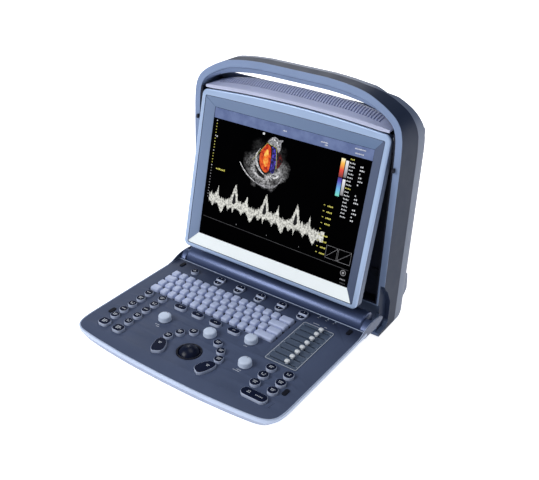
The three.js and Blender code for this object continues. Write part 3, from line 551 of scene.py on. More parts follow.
LOOKS = {
    "frame": frame_finish(),
    "panel": panel_finish(),
    "case": plastic("case_grey_violet", (0.13, 0.16, 0.24), 0.46, specular=0.35),
    "bezel": plastic("bezel_pale_blue", (0.21, 0.285, 0.45), 0.3, grain=0.0, mottle=0.015,
                     metallic=0.35, coat=0.1),
    "bezel_edge": plastic("bezel_edge_blue", (0.36, 0.47, 0.68), 0.32, grain=0.0, mottle=0.015,
                          metallic=0.25),
    # painted shade: a dark copy of the bezel for its right inner facet and its outer side faces
    "bezel_dim_shade": plastic("bezel_side_painted_shade", (0.07, 0.095, 0.17), 0.45, grain=0.0, mottle=0.02,
                         specular=0.3),
    # painted highlight: the bottom inner facet is near white for the reflection of the key light
    "bezel_glint": plastic("bezel_bottom_painted_glint", (0.9, 0.96, 0.97), 0.35, grain=0.0, mottle=0.02,
                           specular=0.5),
    # painted shade: a darker copy of the bezel for its top inner facet
    "bezel_shade": plastic("bezel_top_painted_shade", (0.125, 0.185, 0.31), 0.4, grain=0.0, mottle=0.02,
                           specular=0.3),
    # painted shade in the crease between the outer band and the facets
    "crease": plastic("bezel_crease_painted_shade", (0.04, 0.055, 0.1), 0.5, grain=0.0, specular=0.2),
    "rim": plastic("rim_pale_blue", (0.46, 0.54, 0.72), 0.36, grain=0.03, metallic=0.05, specular=0.4),
    # painted shade: a darker copy of the rim for the drafted lower band, which faces down
    "rim_low_shade": plastic("rim_low_painted_shade", (0.24, 0.29, 0.43), 0.42, grain=0.03, specular=0.3),
    "wing": plastic("wing_grey_blue", (0.085, 0.11, 0.19), 0.42, specular=0.35),
    "belly": plastic("belly_grey", (0.16, 0.18, 0.25), 0.5),
    "barrel": plastic("barrel_satin_blue", (0.07, 0.1, 0.21), 0.36, grain=0.0, mottle=0.02,
                      metallic=0.45, coat=0.08),
    "hood": plastic("hood_violet_grey", (0.44, 0.47, 0.64), 0.5, grain=0.08),
    # dark navy plastic, made near black to add painted shade inside the recess; the other dark parts share it
    "navy": plastic("recess_navy_and_shade", (0.006, 0.008, 0.02), 0.55, grain=0.1, specular=0.25),
    "key": plastic("key_grey_violet", (0.5, 0.57, 0.8), 0.42, grain=0.05, grain_scale=2200.0),
    "skirt": plastic("key_skirt_grey", (0.52, 0.58, 0.74), 0.42, grain=0.05, grain_scale=2200.0),
    "key_dark": plastic("key_dark_lens", (0.005, 0.009, 0.03), 0.5, grain=0.0, mottle=0.15, specular=0.06),
    "knob": plastic("knob_pale_grey", (0.64, 0.73, 0.9), 0.42, grain=0.05),
    "cap": plastic("slider_cap_offwhite", (0.8, 0.83, 0.86), 0.4, grain=0.04),
    "rubber": plastic("rubber_black", (0.006, 0.008, 0.016), 0.75, grain=0.2, specular=0.2),
    "cup": plastic("cup_black", (0.004, 0.005, 0.014), 0.4, grain=0.02, specular=0.25),
    "ball": plastic("ball_navy_gloss", (0.003, 0.006, 0.022), 0.3, grain=0.0, mottle=0.2, specular=0.2),
    "screen": plastic("screen_black", (0.0006, 0.0006, 0.0008), 0.5, grain=0.0, mottle=0.2, specular=0.0),
    "steel": plastic("steel_pin", (0.6, 0.61, 0.62), 0.3, grain=0.05, metallic=1.0),
    "board": plastic("board_green", (0.02, 0.1, 0.04), 0.5),
    "print": plastic("print_white", (0.7, 0.74, 0.82), 0.5, grain=0.05),
    "tgc": plastic("slider_plate_slate", (0.08, 0.108, 0.165), 0.3, grain=0.02, specular=0.4),
    # painted shade: near black for the floors of slots and recesses
    "slot": plastic("slot_painted_shade", (0.004, 0.005, 0.01), 0.6, grain=0.1, specular=0.2),
    "lamp": plastic("lamp_clear", (0.3, 0.36, 0.48), 0.2, grain=0.03, coat=0.5),
}

# -------- CAD nodes that stay, with edges rounded
CARRIED = {
    "front_frame": ("frame", 1.1),
    "rear_case": ("case", 1.2),
    "recess_housing": ("navy", 0.5),
    "main_board": ("board", 0.1),
    "power_supply": ("steel", 0.4),
    "fan_frame": ("navy", 0.4),
    "fan_rotor": ("navy", 0.3),
    "probe_socket_block": ("navy", 0.5),
    "display_rear_cover": ("case", 0.9),
    "lcd_module": ("screen", 0.2),
    "status_lights": ("lamp", 0.2),
}
CARRIED_PAIRS = {
    "display_buffer": ("rubber", 0.5),
    "base_foot": ("rubber", 0.5),
    "cover_catch": ("navy", 0.4),
    "display_pivot": ("steel", 0.3),
    "deck_pivot": ("steel", 0.3),
    "deck_foot": ("rubber", 0.5),
    "cover_pad_rear": ("rubber", 0.5),
    "cover_pad_front": ("rubber", 0.5),
}


def dress(name, look, edge):
    """A carried CAD node gets its material, merged facets and softly rounded edges."""
    obj = NODES[name]
    obj.data.materials.clear()
    obj.data.materials.append(LOOKS[look])
    for extra in ("custom_normal", "sharp_edge", "sharp_face"):
        if extra in obj.data.attributes:
            obj.data.attributes.remove(obj.data.attributes[extra])
    obj.data.shade_smooth()
    weld = obj.modifiers.new("weld", "WELD")
    weld.merge_threshold = 0.01 * MM
    merge = obj.modifiers.new("merge", "DECIMATE")
    merge.decimate_type = "DISSOLVE"
    merge.angle_limit = math.radians(0.8)
    bevel = obj.modifiers.new("edges", "BEVEL")
    bevel.width = edge * MM
    bevel.segments = 2
    bevel.limit_method = "ANGLE"
    bevel.angle_limit = math.radians(32)
    bevel.harden_normals = True
    bevel.use_clamp_overlap = True


for cad_name, (cad_look, cad_edge) in CARRIED.items():
    dress(cad_name, cad_look, cad_edge)
for cad_name, (cad_look, cad_edge) in CARRIED_PAIRS.items():
    for cad_side in ("left", "right"):
        dress(f"{cad_name}_{cad_side}", cad_look, cad_edge)

# -------- vent hood above the display


def hood_height(x, y):
    """Height of the hood: highest towards its rear and in the middle, lower at its front and its ends."""
    t = abs(x) / HOOD_HALF
    front = 373 - 6.5 * t ** 3
    crest = 388 - 2 * t - 19.5 * t ** 4
    rise = crest - front
    return along(((HOOD_FRONT, front), (106, front + rise * 0.35), (117, front + rise * 0.8), (127, crest),
                  (134, crest - 0.8), (HOOD_REAR, crest - 3.5)), y)


def build_hood():
    """A curved skin from side to side; narrow slots are the stations where its top dips by depth."""
    slots, pitch, half_slot, depth = 62, 4.9, 1.15, 2.4
    first, last = 109.5, 131
    ys = (HOOD_FRONT, 99.6, 102, 104.5, 107, first - 0.5, first + 0.2, 112, 114, 116.5, 119, 122, 125, 128,
          last - 0.2, last + 0.3, 133, 136.5, 139.4, HOOD_REAR)
    stations = {-HOOD_HALF: False, HOOD_HALF: False}
    for x in range(-170, 171, 5):
        stations[x] = False
    for i in range(slots):
        x = (i - (slots - 1) / 2) * pitch
        for key in [k for k in stations if abs(k - x) < half_slot + 0.4 and abs(k) < 170]:
            del stations[key]
        for offset, deep in ((-half_slot, False), (-half_slot + 0.25, True), (half_slot - 0.25, True),
                             (half_slot, False)):
            stations[x + offset] = deep
    form = Form()
    rings = []
    for x in sorted(stations):
        top = [(x, y, hood_height(x, y) - (depth if stations[x] and first < y < last else 0)) for y in ys]
        foot = max(362.4, 369.1 - BEZEL_ARCH * (x / HOOD_HALF) ** 2)
        front_drop = [(x, HOOD_FRONT, hood_height(x, HOOD_FRONT) - 0.8), (x, HOOD_FRONT, foot)]
        under = [(x, 101.6, foot), (x, 101.6, hood_height(x, 101.6) - 3.4)]
        under += [(x, y, hood_height(x, y) - 3.6) for y in (108, 118, 128, HOOD_REAR)]
        rings.append([(x, 99.4, top[0][2] + 0.2)] + top[1:] + under[::-1] + front_drop[::-1])
    form.skin(rings)
    make("vent_hood_ribbed", form, [LOOKS["hood"]], "case", ["vent_hood"], angle=40)


build_hood()

# -------- display bezel


def tilted(points, d):
    """Points across the display, x and height up it, at depth d behind its front plane."""
    return [(x, d, s) for x, s in points]


BEZEL_LOOKS = ("bezel", "bezel_edge", "bezel_dim_shade", "crease", "bezel_glint", "bezel_shade")
FACET, EDGE, DIM_SHADE, GROOVE_SHADE, GLINT, SHADE = range(6)


def build_bezel():
    """A frame with a soft outer band, a groove darkened with painted shade and facets that slope in to the
    glass.
    """
    x0, x1, y0, y1 = BEZEL

    def ring(points, rise, d):
        """A ring of the frame whose top side is divided and arched upwards by rise at its middle."""
        (xa, ya), (xb, _) = points[8], points[9]
        top = [(xa + (xb - xa) * i / 12, ya) for i in range(1, 12)]
        whole = points[:9] + top + points[9:]
        return tilted([(x, s + rise * (1 - (x / x1) ** 2) if s > VIEW_H - 1 else s) for x, s in whole], d)

    def outer(inset, d):
        return ring(rounded(x0 + inset, x1 - inset, y0 + inset, y1 - inset, 10 - inset, 8), BEZEL_ARCH, d)

    def crease(grow, d):
        cx0, cx1, cy0, cy1 = CREASE
        return ring(rounded(cx0 - grow, cx1 + grow, cy0 - grow, cy1 + grow, 2.6, 8), 3, d)

    def opening(grow, d):
        return ring(rounded(-VIEW_W / 2 - grow, VIEW_W / 2 + grow, -grow, VIEW_H + grow, 0.4, 8), 0, d)

    form = Form()
    # the two outer side bands get the painted shade of the right facet
    form.skin([outer(0.4, -2), outer(0, -2.6), outer(0, -7.2), outer(0.35, -8.5), outer(1.1, -9.4),
               outer(2.3, -9.9), outer(3.6, -10), crease(1.3, -10), crease(1.0, -9.6), crease(0.4, -9.45),
               crease(-0.2, -9.7), crease(-0.7, -9.5), opening(0.3, -2.75), opening(0, -2.5), opening(0, -2)],
              [DIM_SHADE] * 2 + [EDGE] * 5 + [GROOVE_SHADE] * 2 + [FACET] * 6, closed=True)
    for number, corners in enumerate(form.faces):
        if form.looks[number] != FACET:
            continue
        xs = [form.points[corner][0] for corner in corners]
        heights = [form.points[corner][2] for corner in corners]
        # painted shade on the right inner facet
        if min(xs) > VIEW_W / 2 - 0.1:
            form.looks[number] = DIM_SHADE
        # painted highlight on the bottom inner facet
        elif max(heights) < 0.5:
            form.looks[number] = GLINT
        # painted shade on the top inner facet
        elif min(heights) > VIEW_H - 0.5:
            form.looks[number] = SHADE
    make("display_bezel_frame", form, [LOOKS[name] for name in BEZEL_LOOKS], "display",
         ["display_bezel"], TILTED, angle=17)
    # a thin dark sheet on the right side, painted shade that stands for a small notch
    small = Form()
    small.skin([[(177.2, d, s) for d, s in rounded(-7.3, -2.6, -11.6, -4.4, 1.2, 4)],
                [(177.46, d, s) for d, s in rounded(-7.3, -2.6, -11.6, -4.4, 1.2, 4)]])
    make("display_side_notch_shade", small, [LOOKS["navy"]], "display", (), TILTED)


build_bezel()

# -------- screen picture
BEATS = (-149.7, -87.7, -24, 37.7)
BEAT_TOP = ((-20, 73), (-14, 77), (-9, 79), (-5, 90), (-1.5, 104), (0, 107), (2, 103), (5, 92), (8, 80),
            (11, 77), (13, 82), (16, 76), (20, 79), (24, 84), (26.5, 95), (28.5, 80), (32, 74), (37, 76),
            (42, 74))
BEAT_FOOT = ((-20, 62), (-15, 66), (-11, 58), (-7, 63), (-3, 66), (-0.5, 55), (2, 65), (8, 66), (14, 63),
             (18, 57), (21, 63), (27, 65), (31, 60), (35, 53), (38, 50), (41, 55), (42, 60))
RIPPLE_TOP = ((1.7, 2.9, 0.4), (1.3, 5.3, 1.1), (1.0, 9.1, 2.0))
RIPPLE_FOOT = ((1.3, 3.7, 0.2), (1.4, 7.7, 1.0))
BASE = SCREEN_D + 0.02                 # every lit slab starts inside the glass
FAR = SCREEN_D - 0.04
BACK = SCREEN_D - 0.08
MID = SCREEN_D - 0.14
NEAR = SCREEN_D - 0.2


def ripple(waves, x):
    return sum(size * math.sin(x * rate + phase) for size, rate, phase in waves)


def beat(x):
    """Lower and upper edge of the flow trace at x: one ragged pulse after another."""
    centre = max([middle for middle in BEATS if x - middle >= -20], default=BEATS[0])
    low = along(BEAT_FOOT, x - centre) + ripple(RIPPLE_FOOT, x)
    return low, along(BEAT_TOP, x - centre) + ripple(RIPPLE_TOP, x)


class Picture:
    """The screen picture: thin slabs just in front of the glass, x and height up the display in mm."""

    def __init__(self, names):
        self.form = Form()
        self.names = names

    def slab(self, name, outline, depth=BACK):
        self.form.skin([tilted(outline, BASE), tilted(outline, depth)], self.names.index(name))

    def blob(self, name, points, depth=BACK):
        """A slab with a smooth outline through the points."""
        self.slab(name, smooth(points + points[:1], 4)[:-1], depth)

    def box(self, name, x0, x1, s0, s1, depth=NEAR):
        self.slab(name, [(x0, s0), (x1, s0), (x1, s1), (x0, s1)], depth)

    def dashes(self, name, x, count, pitch, length, low, high, step=0.0):
        """A row of marks that stands for a word; step makes every second one a little taller."""
        for k in range(count):
            self.box(name, x + k * pitch, x + k * pitch + length, low, high + k % 2 * step)

    def strip(self, name, path, width, depth=NEAR):
        line = Form()
        line.bar(path, width, BASE, depth)
        rings = [[(x, d, s) for x, s, d in line.points[i:i + 4]] for i in range(0, len(line.points), 4)]
        self.form.skin(rings, self.names.index(name))

    def swelling(self, name, points, steps, thin, swell, depth=MID, power=1):
        """A smooth curved strip that is thin at its ends and thicker in its middle."""
        path = smooth(points, steps)
        last = len(path) - 1
        widths = [thin + swell * math.sin(math.pi * i / last) ** power for i in range(last + 1)]
        self.strip(name, path, widths, depth)


def draw_banner(picture):
    """The band across the top with its marks, and the scale and label at the left."""
    picture.box("banner", -151.5, 151.5, 210, 227.5, BACK)
    for x, s, length in ((-8, 219, 9), (66, 218, 14), (70, 214.5, 6), (129, 222, 19), (129, 215, 16)):
        picture.dashes("white", x - length / 2, int(length / 1.9), 1.9, 1.1, s - 0.9, s + 0.7, 0.4)
    for k in range(27):
        s = 206 - k * 5.2
        tint = "grey" if k > 15 else "white" if k % 5 == 0 else "yellow"
        picture.box(tint, -144.8, -143.2, s - 0.7, s + 0.7)
    picture.slab("white", moved(plan(4.2, 4.2, 2.0), (-47.7, 205.7)), NEAR)
    picture.box("white", -141.5, -139.5, 178, 180.4)
    for k in range(6):
        x = -134 + k * 3.3
        picture.box("yellow", x, x + 2.2, 123 - k % 2 * 0.4, 124.8 + k % 3 * 0.5)


def draw_echo(picture):
    """The echo picture: soft tissue round a dark chamber, brighter walls and a patch of colour flow."""
    picture.blob("echo", [(-92, 152), (-80, 128), (-56, 113), (-28, 110), (-2, 116), (12, 134), (12, 166),
                          (2, 196), (-12, 208), (-42, 208), (-66, 192)], FAR)
    picture.swelling("wall", [(-87, 148), (-78, 138), (-66, 129), (-52, 122)], 6, 0.7, 1.5)
    picture.swelling("tissue", [(-56, 124), (-42, 121), (-28, 120), (-14, 124), (-3, 134)], 5, 1.5, 3.4,
                     SCREEN_D - 0.1)
    picture.swelling("wall", [(-50, 180), (-56, 168), (-52, 153), (-42, 142), (-30, 137)], 6, 0.8, 3.2,
                     power=2)
    picture.swelling("wall", [(-24, 139), (-14, 138), (-8, 144), (-6, 152)], 5, 0.8, 2.0)
    picture.blob("tissue", [(-38, 194), (-33, 201), (-25, 205), (-17, 202), (-9, 203), (-12, 197), (-11, 189),
                            (-15, 181), (-21, 189), (-30, 190)])
    picture.swelling("wall", [(-35, 196), (-28, 200.5), (-20, 197), (-15, 188)], 5, 0.6, 2.2)
    picture.blob("red", [(-38, 191), (-44, 184), (-49, 172), (-48, 158), (-42, 147), (-34, 143), (-29, 146),
                         (-27, 158), (-28, 174), (-31, 187)], MID)
    picture.blob("hot", [(-37, 182), (-41, 172), (-41, 160), (-36, 152), (-32, 156), (-32, 168),
                         (-34, 180)], NEAR)
    picture.blob("blue", [(-28, 188), (-25.5, 176), (-26, 163), (-26, 148), (-19, 144), (-16.5, 156),
                          (-18, 176), (-22, 187)], MID)
    picture.blob("rust", [(-14, 182), (-14, 168), (-13, 154), (-6, 164), (-6, 176)], SCREEN_D - 0.06)
    picture.strip("yellow", [(-38, 192), (-62, 158)], 0.35)
    picture.strip("yellow", [(-38, 192), (-19, 188), (-14.5, 154)], 0.45)


def draw_trace(picture):
    """The flow trace, with the dark gap under each large pulse, and the axis marks at its right."""
    rings = []
    for i in range(386):
        x = -141 + 0.6 * i
        low, high = beat(x)
        rings.append([(x, BASE, low), (x, MID, low), (x, MID, high), (x, BASE, high)])
    picture.form.skin(rings, picture.names.index("trace"))
    for centre in BEATS[1:]:
        picture.slab("black", [(centre - 3.4, 73), (centre + 0.6, 71), (centre + 4.2, 76), (centre + 2, 88),
                               (centre - 0.5, 93), (centre - 2.4, 84)], NEAR)
    picture.box("trace", 88, 94, 59, 77)
    for k in range(9):
        s = 121 - k * 10
        picture.box("yellow", 84, 86.6, s - 0.5, s + 0.5)
        if k != 4:
            picture.dashes("yellow", 91, 4, 2.6, 1.7, s - 1.3, s + 0.7, 0.5)


def draw_readouts(picture):
    """Colour scales, columns of marks, two boxed curves and an icon at the right, and the base line."""
    picture.box("warm", 100, 107, 172, 202)
    picture.box("pale_high", 108.5, 113.5, 173, 200)
    picture.box("cool", 100, 107, 141, 171)
    picture.box("pale_low", 108.5, 113.5, 144, 170)
    for k in range(17):
        s = 204 - k * 5.8
        tint = "yellow" if k in (0, 8) else "white"
        picture.dashes(tint, 115.5, 4 if k % 3 else 3, 2.5, 1.4, s - 1.1, s + 1.0, -0.6)
        if k not in (0, 7, 8, 12):
            picture.dashes("white", 134, 1 + (k * 7) % 3, 3.0, 1.8, s - 3.2, s - 1.2, 0.5)
    for x0, x1 in ((102.5, 123), (125, 148)):
        picture.strip("grey", [(x0, 37), (x1, 37), (x1, 58), (x0, 58), (x0, 37)], 0.42)
        picture.strip("grey", [(x0, 38), (x1, 57)], 0.42)
    outline = moved(plan(9, 9, 4.3), (139.7, 21.8))
    picture.strip("grey", outline + outline[:1], 0.9)
    picture.slab("grey", moved(plan(4, 4, 1.9), (139.7, 21.8)), NEAR)
    picture.dashes("grey", 136, 4, 2.6, 1.6, 9.5, 11.5)
    picture.dashes("dim", 137, 4, 2.6, 1.6, 3.5, 5.2)
    picture.strip("dim", [(-148, 34), (148, 28.5)], 0.5)
    for x in (-76, -12.5, 52):
        picture.box("grey", x - 0.5, x + 0.5, 37.5, 39)


def build_screen():
    warm = ((0, (0.12, 0.0, 0.0)), (0.4, (0.75, 0.04, 0.01)), (0.75, (0.95, 0.5, 0.05)),
            (1, (1, 0.95, 0.6)))
    cool = ((0, (0.15, 0.7, 0.5)), (0.4, (0.12, 0.4, 0.75)), (0.8, (0.07, 0.05, 0.45)),
            (1, (0.02, 0.0, 0.15)))
    pale = ((0, (0.08, 0.07, 0.08)), (1, (0.85, 0.85, 0.9)))
    lights = {
        "banner": glow("lit_banner", (0.11, 0.15, 0.31), (0.15, 0.2, 0.38), 60),
        "white": glow("lit_white", (0.55, 0.57, 0.6), (0.85, 0.86, 0.9), 500),
        "yellow": glow("lit_yellow", (0.45, 0.42, 0.05), (0.8, 0.75, 0.2), 500),
        "echo": echo_glow(),
        "tissue": glow("lit_tissue", (0.06, 0.06, 0.065), (0.5, 0.5, 0.53), 260, 0.4, 0.66),
        "wall": glow("lit_wall", (0.2, 0.2, 0.21), (0.85, 0.85, 0.87), 300, 0.38, 0.62),
        "trace": glow("lit_trace", (0.3, 0.3, 0.28), (0.8, 0.8, 0.74), 340, 0.36, 0.6),
        "red": glow("lit_red", (0.35, 0.005, 0.003), (0.85, 0.12, 0.015), 170, 0.36, 0.6),
        "hot": glow("lit_hot", (0.85, 0.14, 0.01), (1.0, 0.62, 0.12), 130, 0.4, 0.64),
        "blue": glow("lit_blue", (0.005, 0.004, 0.06), (0.1, 0.07, 0.6), 260, 0.42, 0.66),
        "rust": glow("lit_rust", (0.0, 0.0, 0.0), (0.16, 0.01, 0.008), 190, 0.42, 0.66),
        "grey": glow("lit_grey", (0.2, 0.2, 0.21), (0.34, 0.34, 0.36), 90),
        "dim": glow("lit_dim", (0.06, 0.06, 0.065), (0.1, 0.1, 0.105), 90),
        "black": glow("lit_nothing", (0.0, 0.0, 0.0), (0.004, 0.004, 0.005), 90),
        "warm": scale_glow("lit_warm_scale", 0.276, 0.306, warm),
        "cool": scale_glow("lit_cool_scale", 0.246, 0.276, cool),
        "pale_high": scale_glow("lit_pale_high", 0.276, 0.304, pale),
        "pale_low": scale_glow("lit_pale_low", 0.246, 0.274, pale),
    }
    picture = Picture(list(lights))
    draw_banner(picture)
    draw_echo(picture)
    draw_trace(picture)
    draw_readouts(picture)
    make("screen_picture", picture.form, list(lights.values()), "display", (), TILTED)


build_screen()

# -------- deck shell, barrel and panel


def build_deck_shell():
    """The rim with its drafted lower band, the belly as a tray under it, and the hinge wings."""
    outline = deck_outline()
    front_draft, side_draft = 3.5, 9

    def ring(inset, z):
        return at_height(drawn_in(outline, inset), z)

    def drafted(part, z):
        """The outline pulled in towards the lower edge of the band by part of the full draft."""
        narrower = 1 - side_draft * part / DECK_HALF
        shift = front_draft * part / (DECK_REAR - DECK_FRONT)
        return [(x * narrower, y + shift * (DECK_REAR - y), z) for x, y in outline]

    def pulled(keep_x, keep_y, z):
        """The outline shrunk about the middle of the deck, for the hidden inner edge of the shell."""
        middle = (DECK_REAR + DECK_FRONT) / 2
        return [(x * keep_x, middle + (y - middle) * keep_y, z) for x, y in outline]

    form = Form()
    upper = [pulled(0.94, 0.92, 34), ring(3, 36), ring(3, 41.6), ring(2.3, 42.3), ring(1.7, 42.6),
             ring(1.0, 42.5), ring(0.4, 42.1), ring(0, 41.4), ring(0, 36.5)]
    # the lower band and the hidden inner edge take the darker copy of the rim colour, painted shade
    lower = [drafted(0, 35.6), drafted(0.12, 34.9), drafted(0.92, 27), drafted(1, 26),
             pulled(0.78, 0.76, 26), pulled(0.78, 0.76, 28), pulled(0.92, 0.9, 28)]
    form.skin(upper + lower, [0] * len(upper) + [1] * len(lower), closed=True)
    make("deck_shell_rim", form, [LOOKS["rim"], LOOKS["rim_low_shade"]], "deck",
         ["deck_bottom_shell"], angle=28)
    belly = Form()
    x, y0, y1, r = BELLY
    tray = ((3, DECK_BELLY + 3), (3, 27.5), (0, 27.5), (0, 8.4), (0.8, 6.2), (2.9, DECK_BELLY))
    belly.skin([at_height(rounded(-x + i, x - i, y0 + i, y1 - i, r - i), z) for i, z in tray])
    make("deck_belly", belly, [LOOKS["belly"]], "deck", ["deck_bottom_shell"], angle=28)
    wings = Form()
    blade = smooth([(15, 35), (15, 42.3), (24, 43.5), (32, 46.5), (40, 49.5), (50, 52), (60, 53),
                    (76, 52.5), (88, 50.5), (98, 47), (104, 42.5), (103, 39), (93, 34.5), (76, 32.5),
                    (57, 33.5), (28, 35)], 3)
    cheek_top = smooth([(47.6, 43), (50, 46), (55, 50.5), (60, 53.4), (66, 54.5)], 4)
    cheek = [(46.2, 30), (46.2, 42.5)] + cheek_top + [(66, 30)]
    for side in (-1, 1):
        for profile, low, high, soft, look in ((blade, 195.4, 197.3, 0.4, (0, 2, 0)),
                                               (cheek, 184.3, 195.6, 0.25, (1, 1, 1))):
            spots = ((low, soft), (low + soft, 0), (high - soft, 0), (high, soft))
            rings = [[(side * px, y, z) for y, z in drawn_in(profile, inset)] for px, inset in spots]
            wings.skin(rings if side > 0 else rings[::-1], look)
    make("deck_hinge_wings", wings, [LOOKS["wing"], LOOKS["barrel"], LOOKS["rim"]], "deck",
         ["deck_bottom_shell"], angle=40)


def build_barrel():
    form = Form()
    rings = []
    for x, shrink in ((-BARREL_HALF, 2.4), (-BARREL_HALF + 0.5, 1.0), (-BARREL_HALF + 1.6, 0.2),
                      (-BARREL_HALF + 3, 0), (BARREL_HALF - 3, 0), (BARREL_HALF - 1.6, 0.2),
                      (BARREL_HALF - 0.5, 1.0), (BARREL_HALF, 2.4)):
        radius = BARREL_R - shrink
        rings.append([(x, BARREL[0] + radius * math.cos(a), BARREL[1] + radius * math.sin(a))
                      for a in (i / 96 * math.tau for i in range(96))])
    form.skin(rings)
    web = rounded(DECK_REAR + GAP, 57, 24.3, 36, 1.2, 4)
    form.skin([[(x, y, z) for y, z in web] for x in (-170, 170)])
    make("deck_barrel_roll", form, [LOOKS["barrel"]], "deck", ["deck_hinge_barrel"], angle=30)


def mode_last(inset):
    return plan(19, 17, 6, inset)


def arc_key(centre, grow=0.0):
    """Plan of a key round the trackball, about its own middle: a disc cut straight away from the ball."""
    turn = math.atan2(centre[1] - TRACKBALL[1], centre[0] - TRACKBALL[0])
    radius = ARC_R + grow
    half_angle = math.acos((ARC_FLAT + grow) / radius)
    arc = [half_angle + (math.tau - 2 * half_angle) * i / 32 for i in range(33)]
    return moved([(radius * math.cos(a), radius * math.sin(a)) for a in arc], (0, 0), turn)


def leaf(inset, side):
    """Plan of a thumb key: a kite with a pointed lower end, mirrored on the left."""
    whole = smooth(THUMB_LEAF + THUMB_LEAF[:1], 4)[:-1]
    points = [(x * side, y) for x, y in (whole if side > 0 else whole[::-1])]
    return drawn_in(points, inset)


def key_plans():
    """The outline of every hole in the panel: a key's plan grown by the gap."""
    holes = []
    for x in MODE_COLUMNS:
        holes += [moved(plan(*MODE_SIZE, -KEY_GAP), (x, MODE_FIRST_Y - i * MODE_PITCH)) for i in range(5)]
        holes.append(moved(mode_last(-KEY_GAP), (x, MODE_LAST_Y)))
    for x, y in ARC:
        holes += [moved(arc_key((s * x, y), KEY_GAP), (s * x, y)) for s in (1, -1)]
    holes += [moved(plan(*OVAL_SIZE, -KEY_GAP), (x, OVAL_Y)) for x in OVAL_X]
    holes += [moved(plan(*RIGHT_SIZE, -KEY_GAP), (x, y)) for x in RIGHT_X for y in RIGHT_Y]
    holes.append(moved(plan(*FREEZE_SIZE, -KEY_GAP), FREEZE))
    holes += [moved(leaf(-KEY_GAP, s), (s * THUMB[0], THUMB[1])) for s in (1, -1)]
    holes.append(moved(plan(*POWER_SIZE, -KEY_GAP), POWER))
    holes += [moved(plan(*SOFT_SIZE, -KEY_GAP), (x, SOFT_Y)) for x in SOFT_X]
    holes += [moved(plan(6.8, 6.8, 3.3), knob) for knob in KNOBS]
    holes += [moved(plan(4.2, 4.2, 2.0), light) for light in LIGHTS]
    holes.append(moved(plan(41.2, 41.2, 20.5, steps=12), TRACKBALL))
    holes.append(moved(plan(2 * (TGC_HALF[0] + GAP), 2 * (TGC_HALF[1] + GAP), 4.2), TGC))
    holes.append(rounded(KEYS_X[0] - 2, KEYS_X[1] + 2, -67.5, 6, 2))
    return holes


def build_panel():
    outline = drawn_in(deck_outline(), RIM + GAP)
    plate("deck_panel_film", [outline] + key_plans(), DECK_TOP - PANEL_T, DECK_TOP, 0.25, LOOKS["panel"],
          "deck", ["deck_panel"])
    tray = Form()
    # a near-black tray under the keys, painted shade between them
    tray.slab(rounded(-171.5, 91, -69, 7.5, 2), DECK_TOP - 5.4, DECK_TOP - 2.6)
    make("keyboard_tray", tray, [LOOKS["slot"]], "deck")


def build_prints():
    """Light printed marks on the film: lines, and short dashes that stand for captions."""
    form = Form()
    low, high = DECK_TOP - 0.1, DECK_TOP + 0.05
    form.bar([(-190, 45.4), (190, 45.4)], 0.8, low, high)
    for x, y, width in ((-85, -137, 10), (-82, -141, 7), (62, -98, 8), (88, -151, 9), (85, -154.5, 12),
                        (113.2, 36.8, 3), (128.3, 36.8, 3.6), (142.3, 36.8, 3), (120, 19.4, 12),
                        (138, 19.4, 6)):
        for k in range(int(width / 1.7)):
            form.dash(x - width / 2 + k * 1.7, y, 1.1, 1.2, low, high)
    # dark dashes that stand for small slots, in painted shade
    for k in range(5):
        form.dash(170, -181 - k * 3, 3, 0.5, low, high, 1)
    make("deck_prints", form, [LOOKS["print"], LOOKS["slot"]], "deck")


build_deck_shell()
build_barrel()
build_panel()
build_prints()

# -------- keys
SKIRT, LENS, MARK = 0, 1, 2
KEY_LOOKS = [LOOKS["skirt"], LOOKS["key_dark"], LOOKS["print"]]
LENS_PROFILE = ((0, KEY_FOOT, SKIRT), (0, KEY_TOP - 0.9, SKIRT), (0.1, KEY_TOP - 0.6, SKIRT),
                (0.25, KEY_TOP - 0.45, SKIRT), (0.45, KEY_TOP - 0.38, SKIRT), (0.6, KEY_TOP - 0.34, LENS),
                (1.4, KEY_TOP - 0.16, LENS), (3.2, KEY_TOP - 0.1, LENS), (4.6, KEY_TOP - 0.08, LENS))
MARK_PITCH = 1.9
ONE_LINE, TWO_LINES = ((0, 0, 7.6),), ((0, 1.4, 7.6), (-0.4, -1.5, 5.7))
THREE_MARKS = ((-2.6, 1.5, 2), (2.6, 1.5, 2), (0, -1.4, 5.7))
LAST_MARKS = ((-0.5, 2.6, 8), (0.5, 0, 9.6), (-1, -2.6, 6))
OVAL_MARKS = ((-1.2, 0, 2.4), (1.6, 0.6, 1.6))
FREEZE_MARKS = ((-10.5, 1.8, 2.2), (-7.8, 1.8, 2.0), (-9.5, -1.2, 5.4)) + tuple((3 + 2.6 * k, 0, 1.8)
                                                                               for k in range(5))


def key_marks(form, centre, marks, lift=0.0):
    """Rows of short light dashes on a key top, in place of lettering."""
    for x, y, length in marks:
        count = max(1, round(length / MARK_PITCH))
        for k in range(count):
            along_row = (k - (count - 1) / 2) * MARK_PITCH
            form.dash(centre[0] + x + along_row, centre[1] + y, 1.35, 1.5 - k % 2 * 0.3, KEY_TOP - 0.3 + lift,
                      KEY_TOP - 0.02 + lift, MARK)


def lens_key(form, centre, outline, marks):
    """A light key with a dark top and one or more small light marks on it."""
    form.key(centre, outline, LENS_PROFILE)
    key_marks(form, centre, marks)


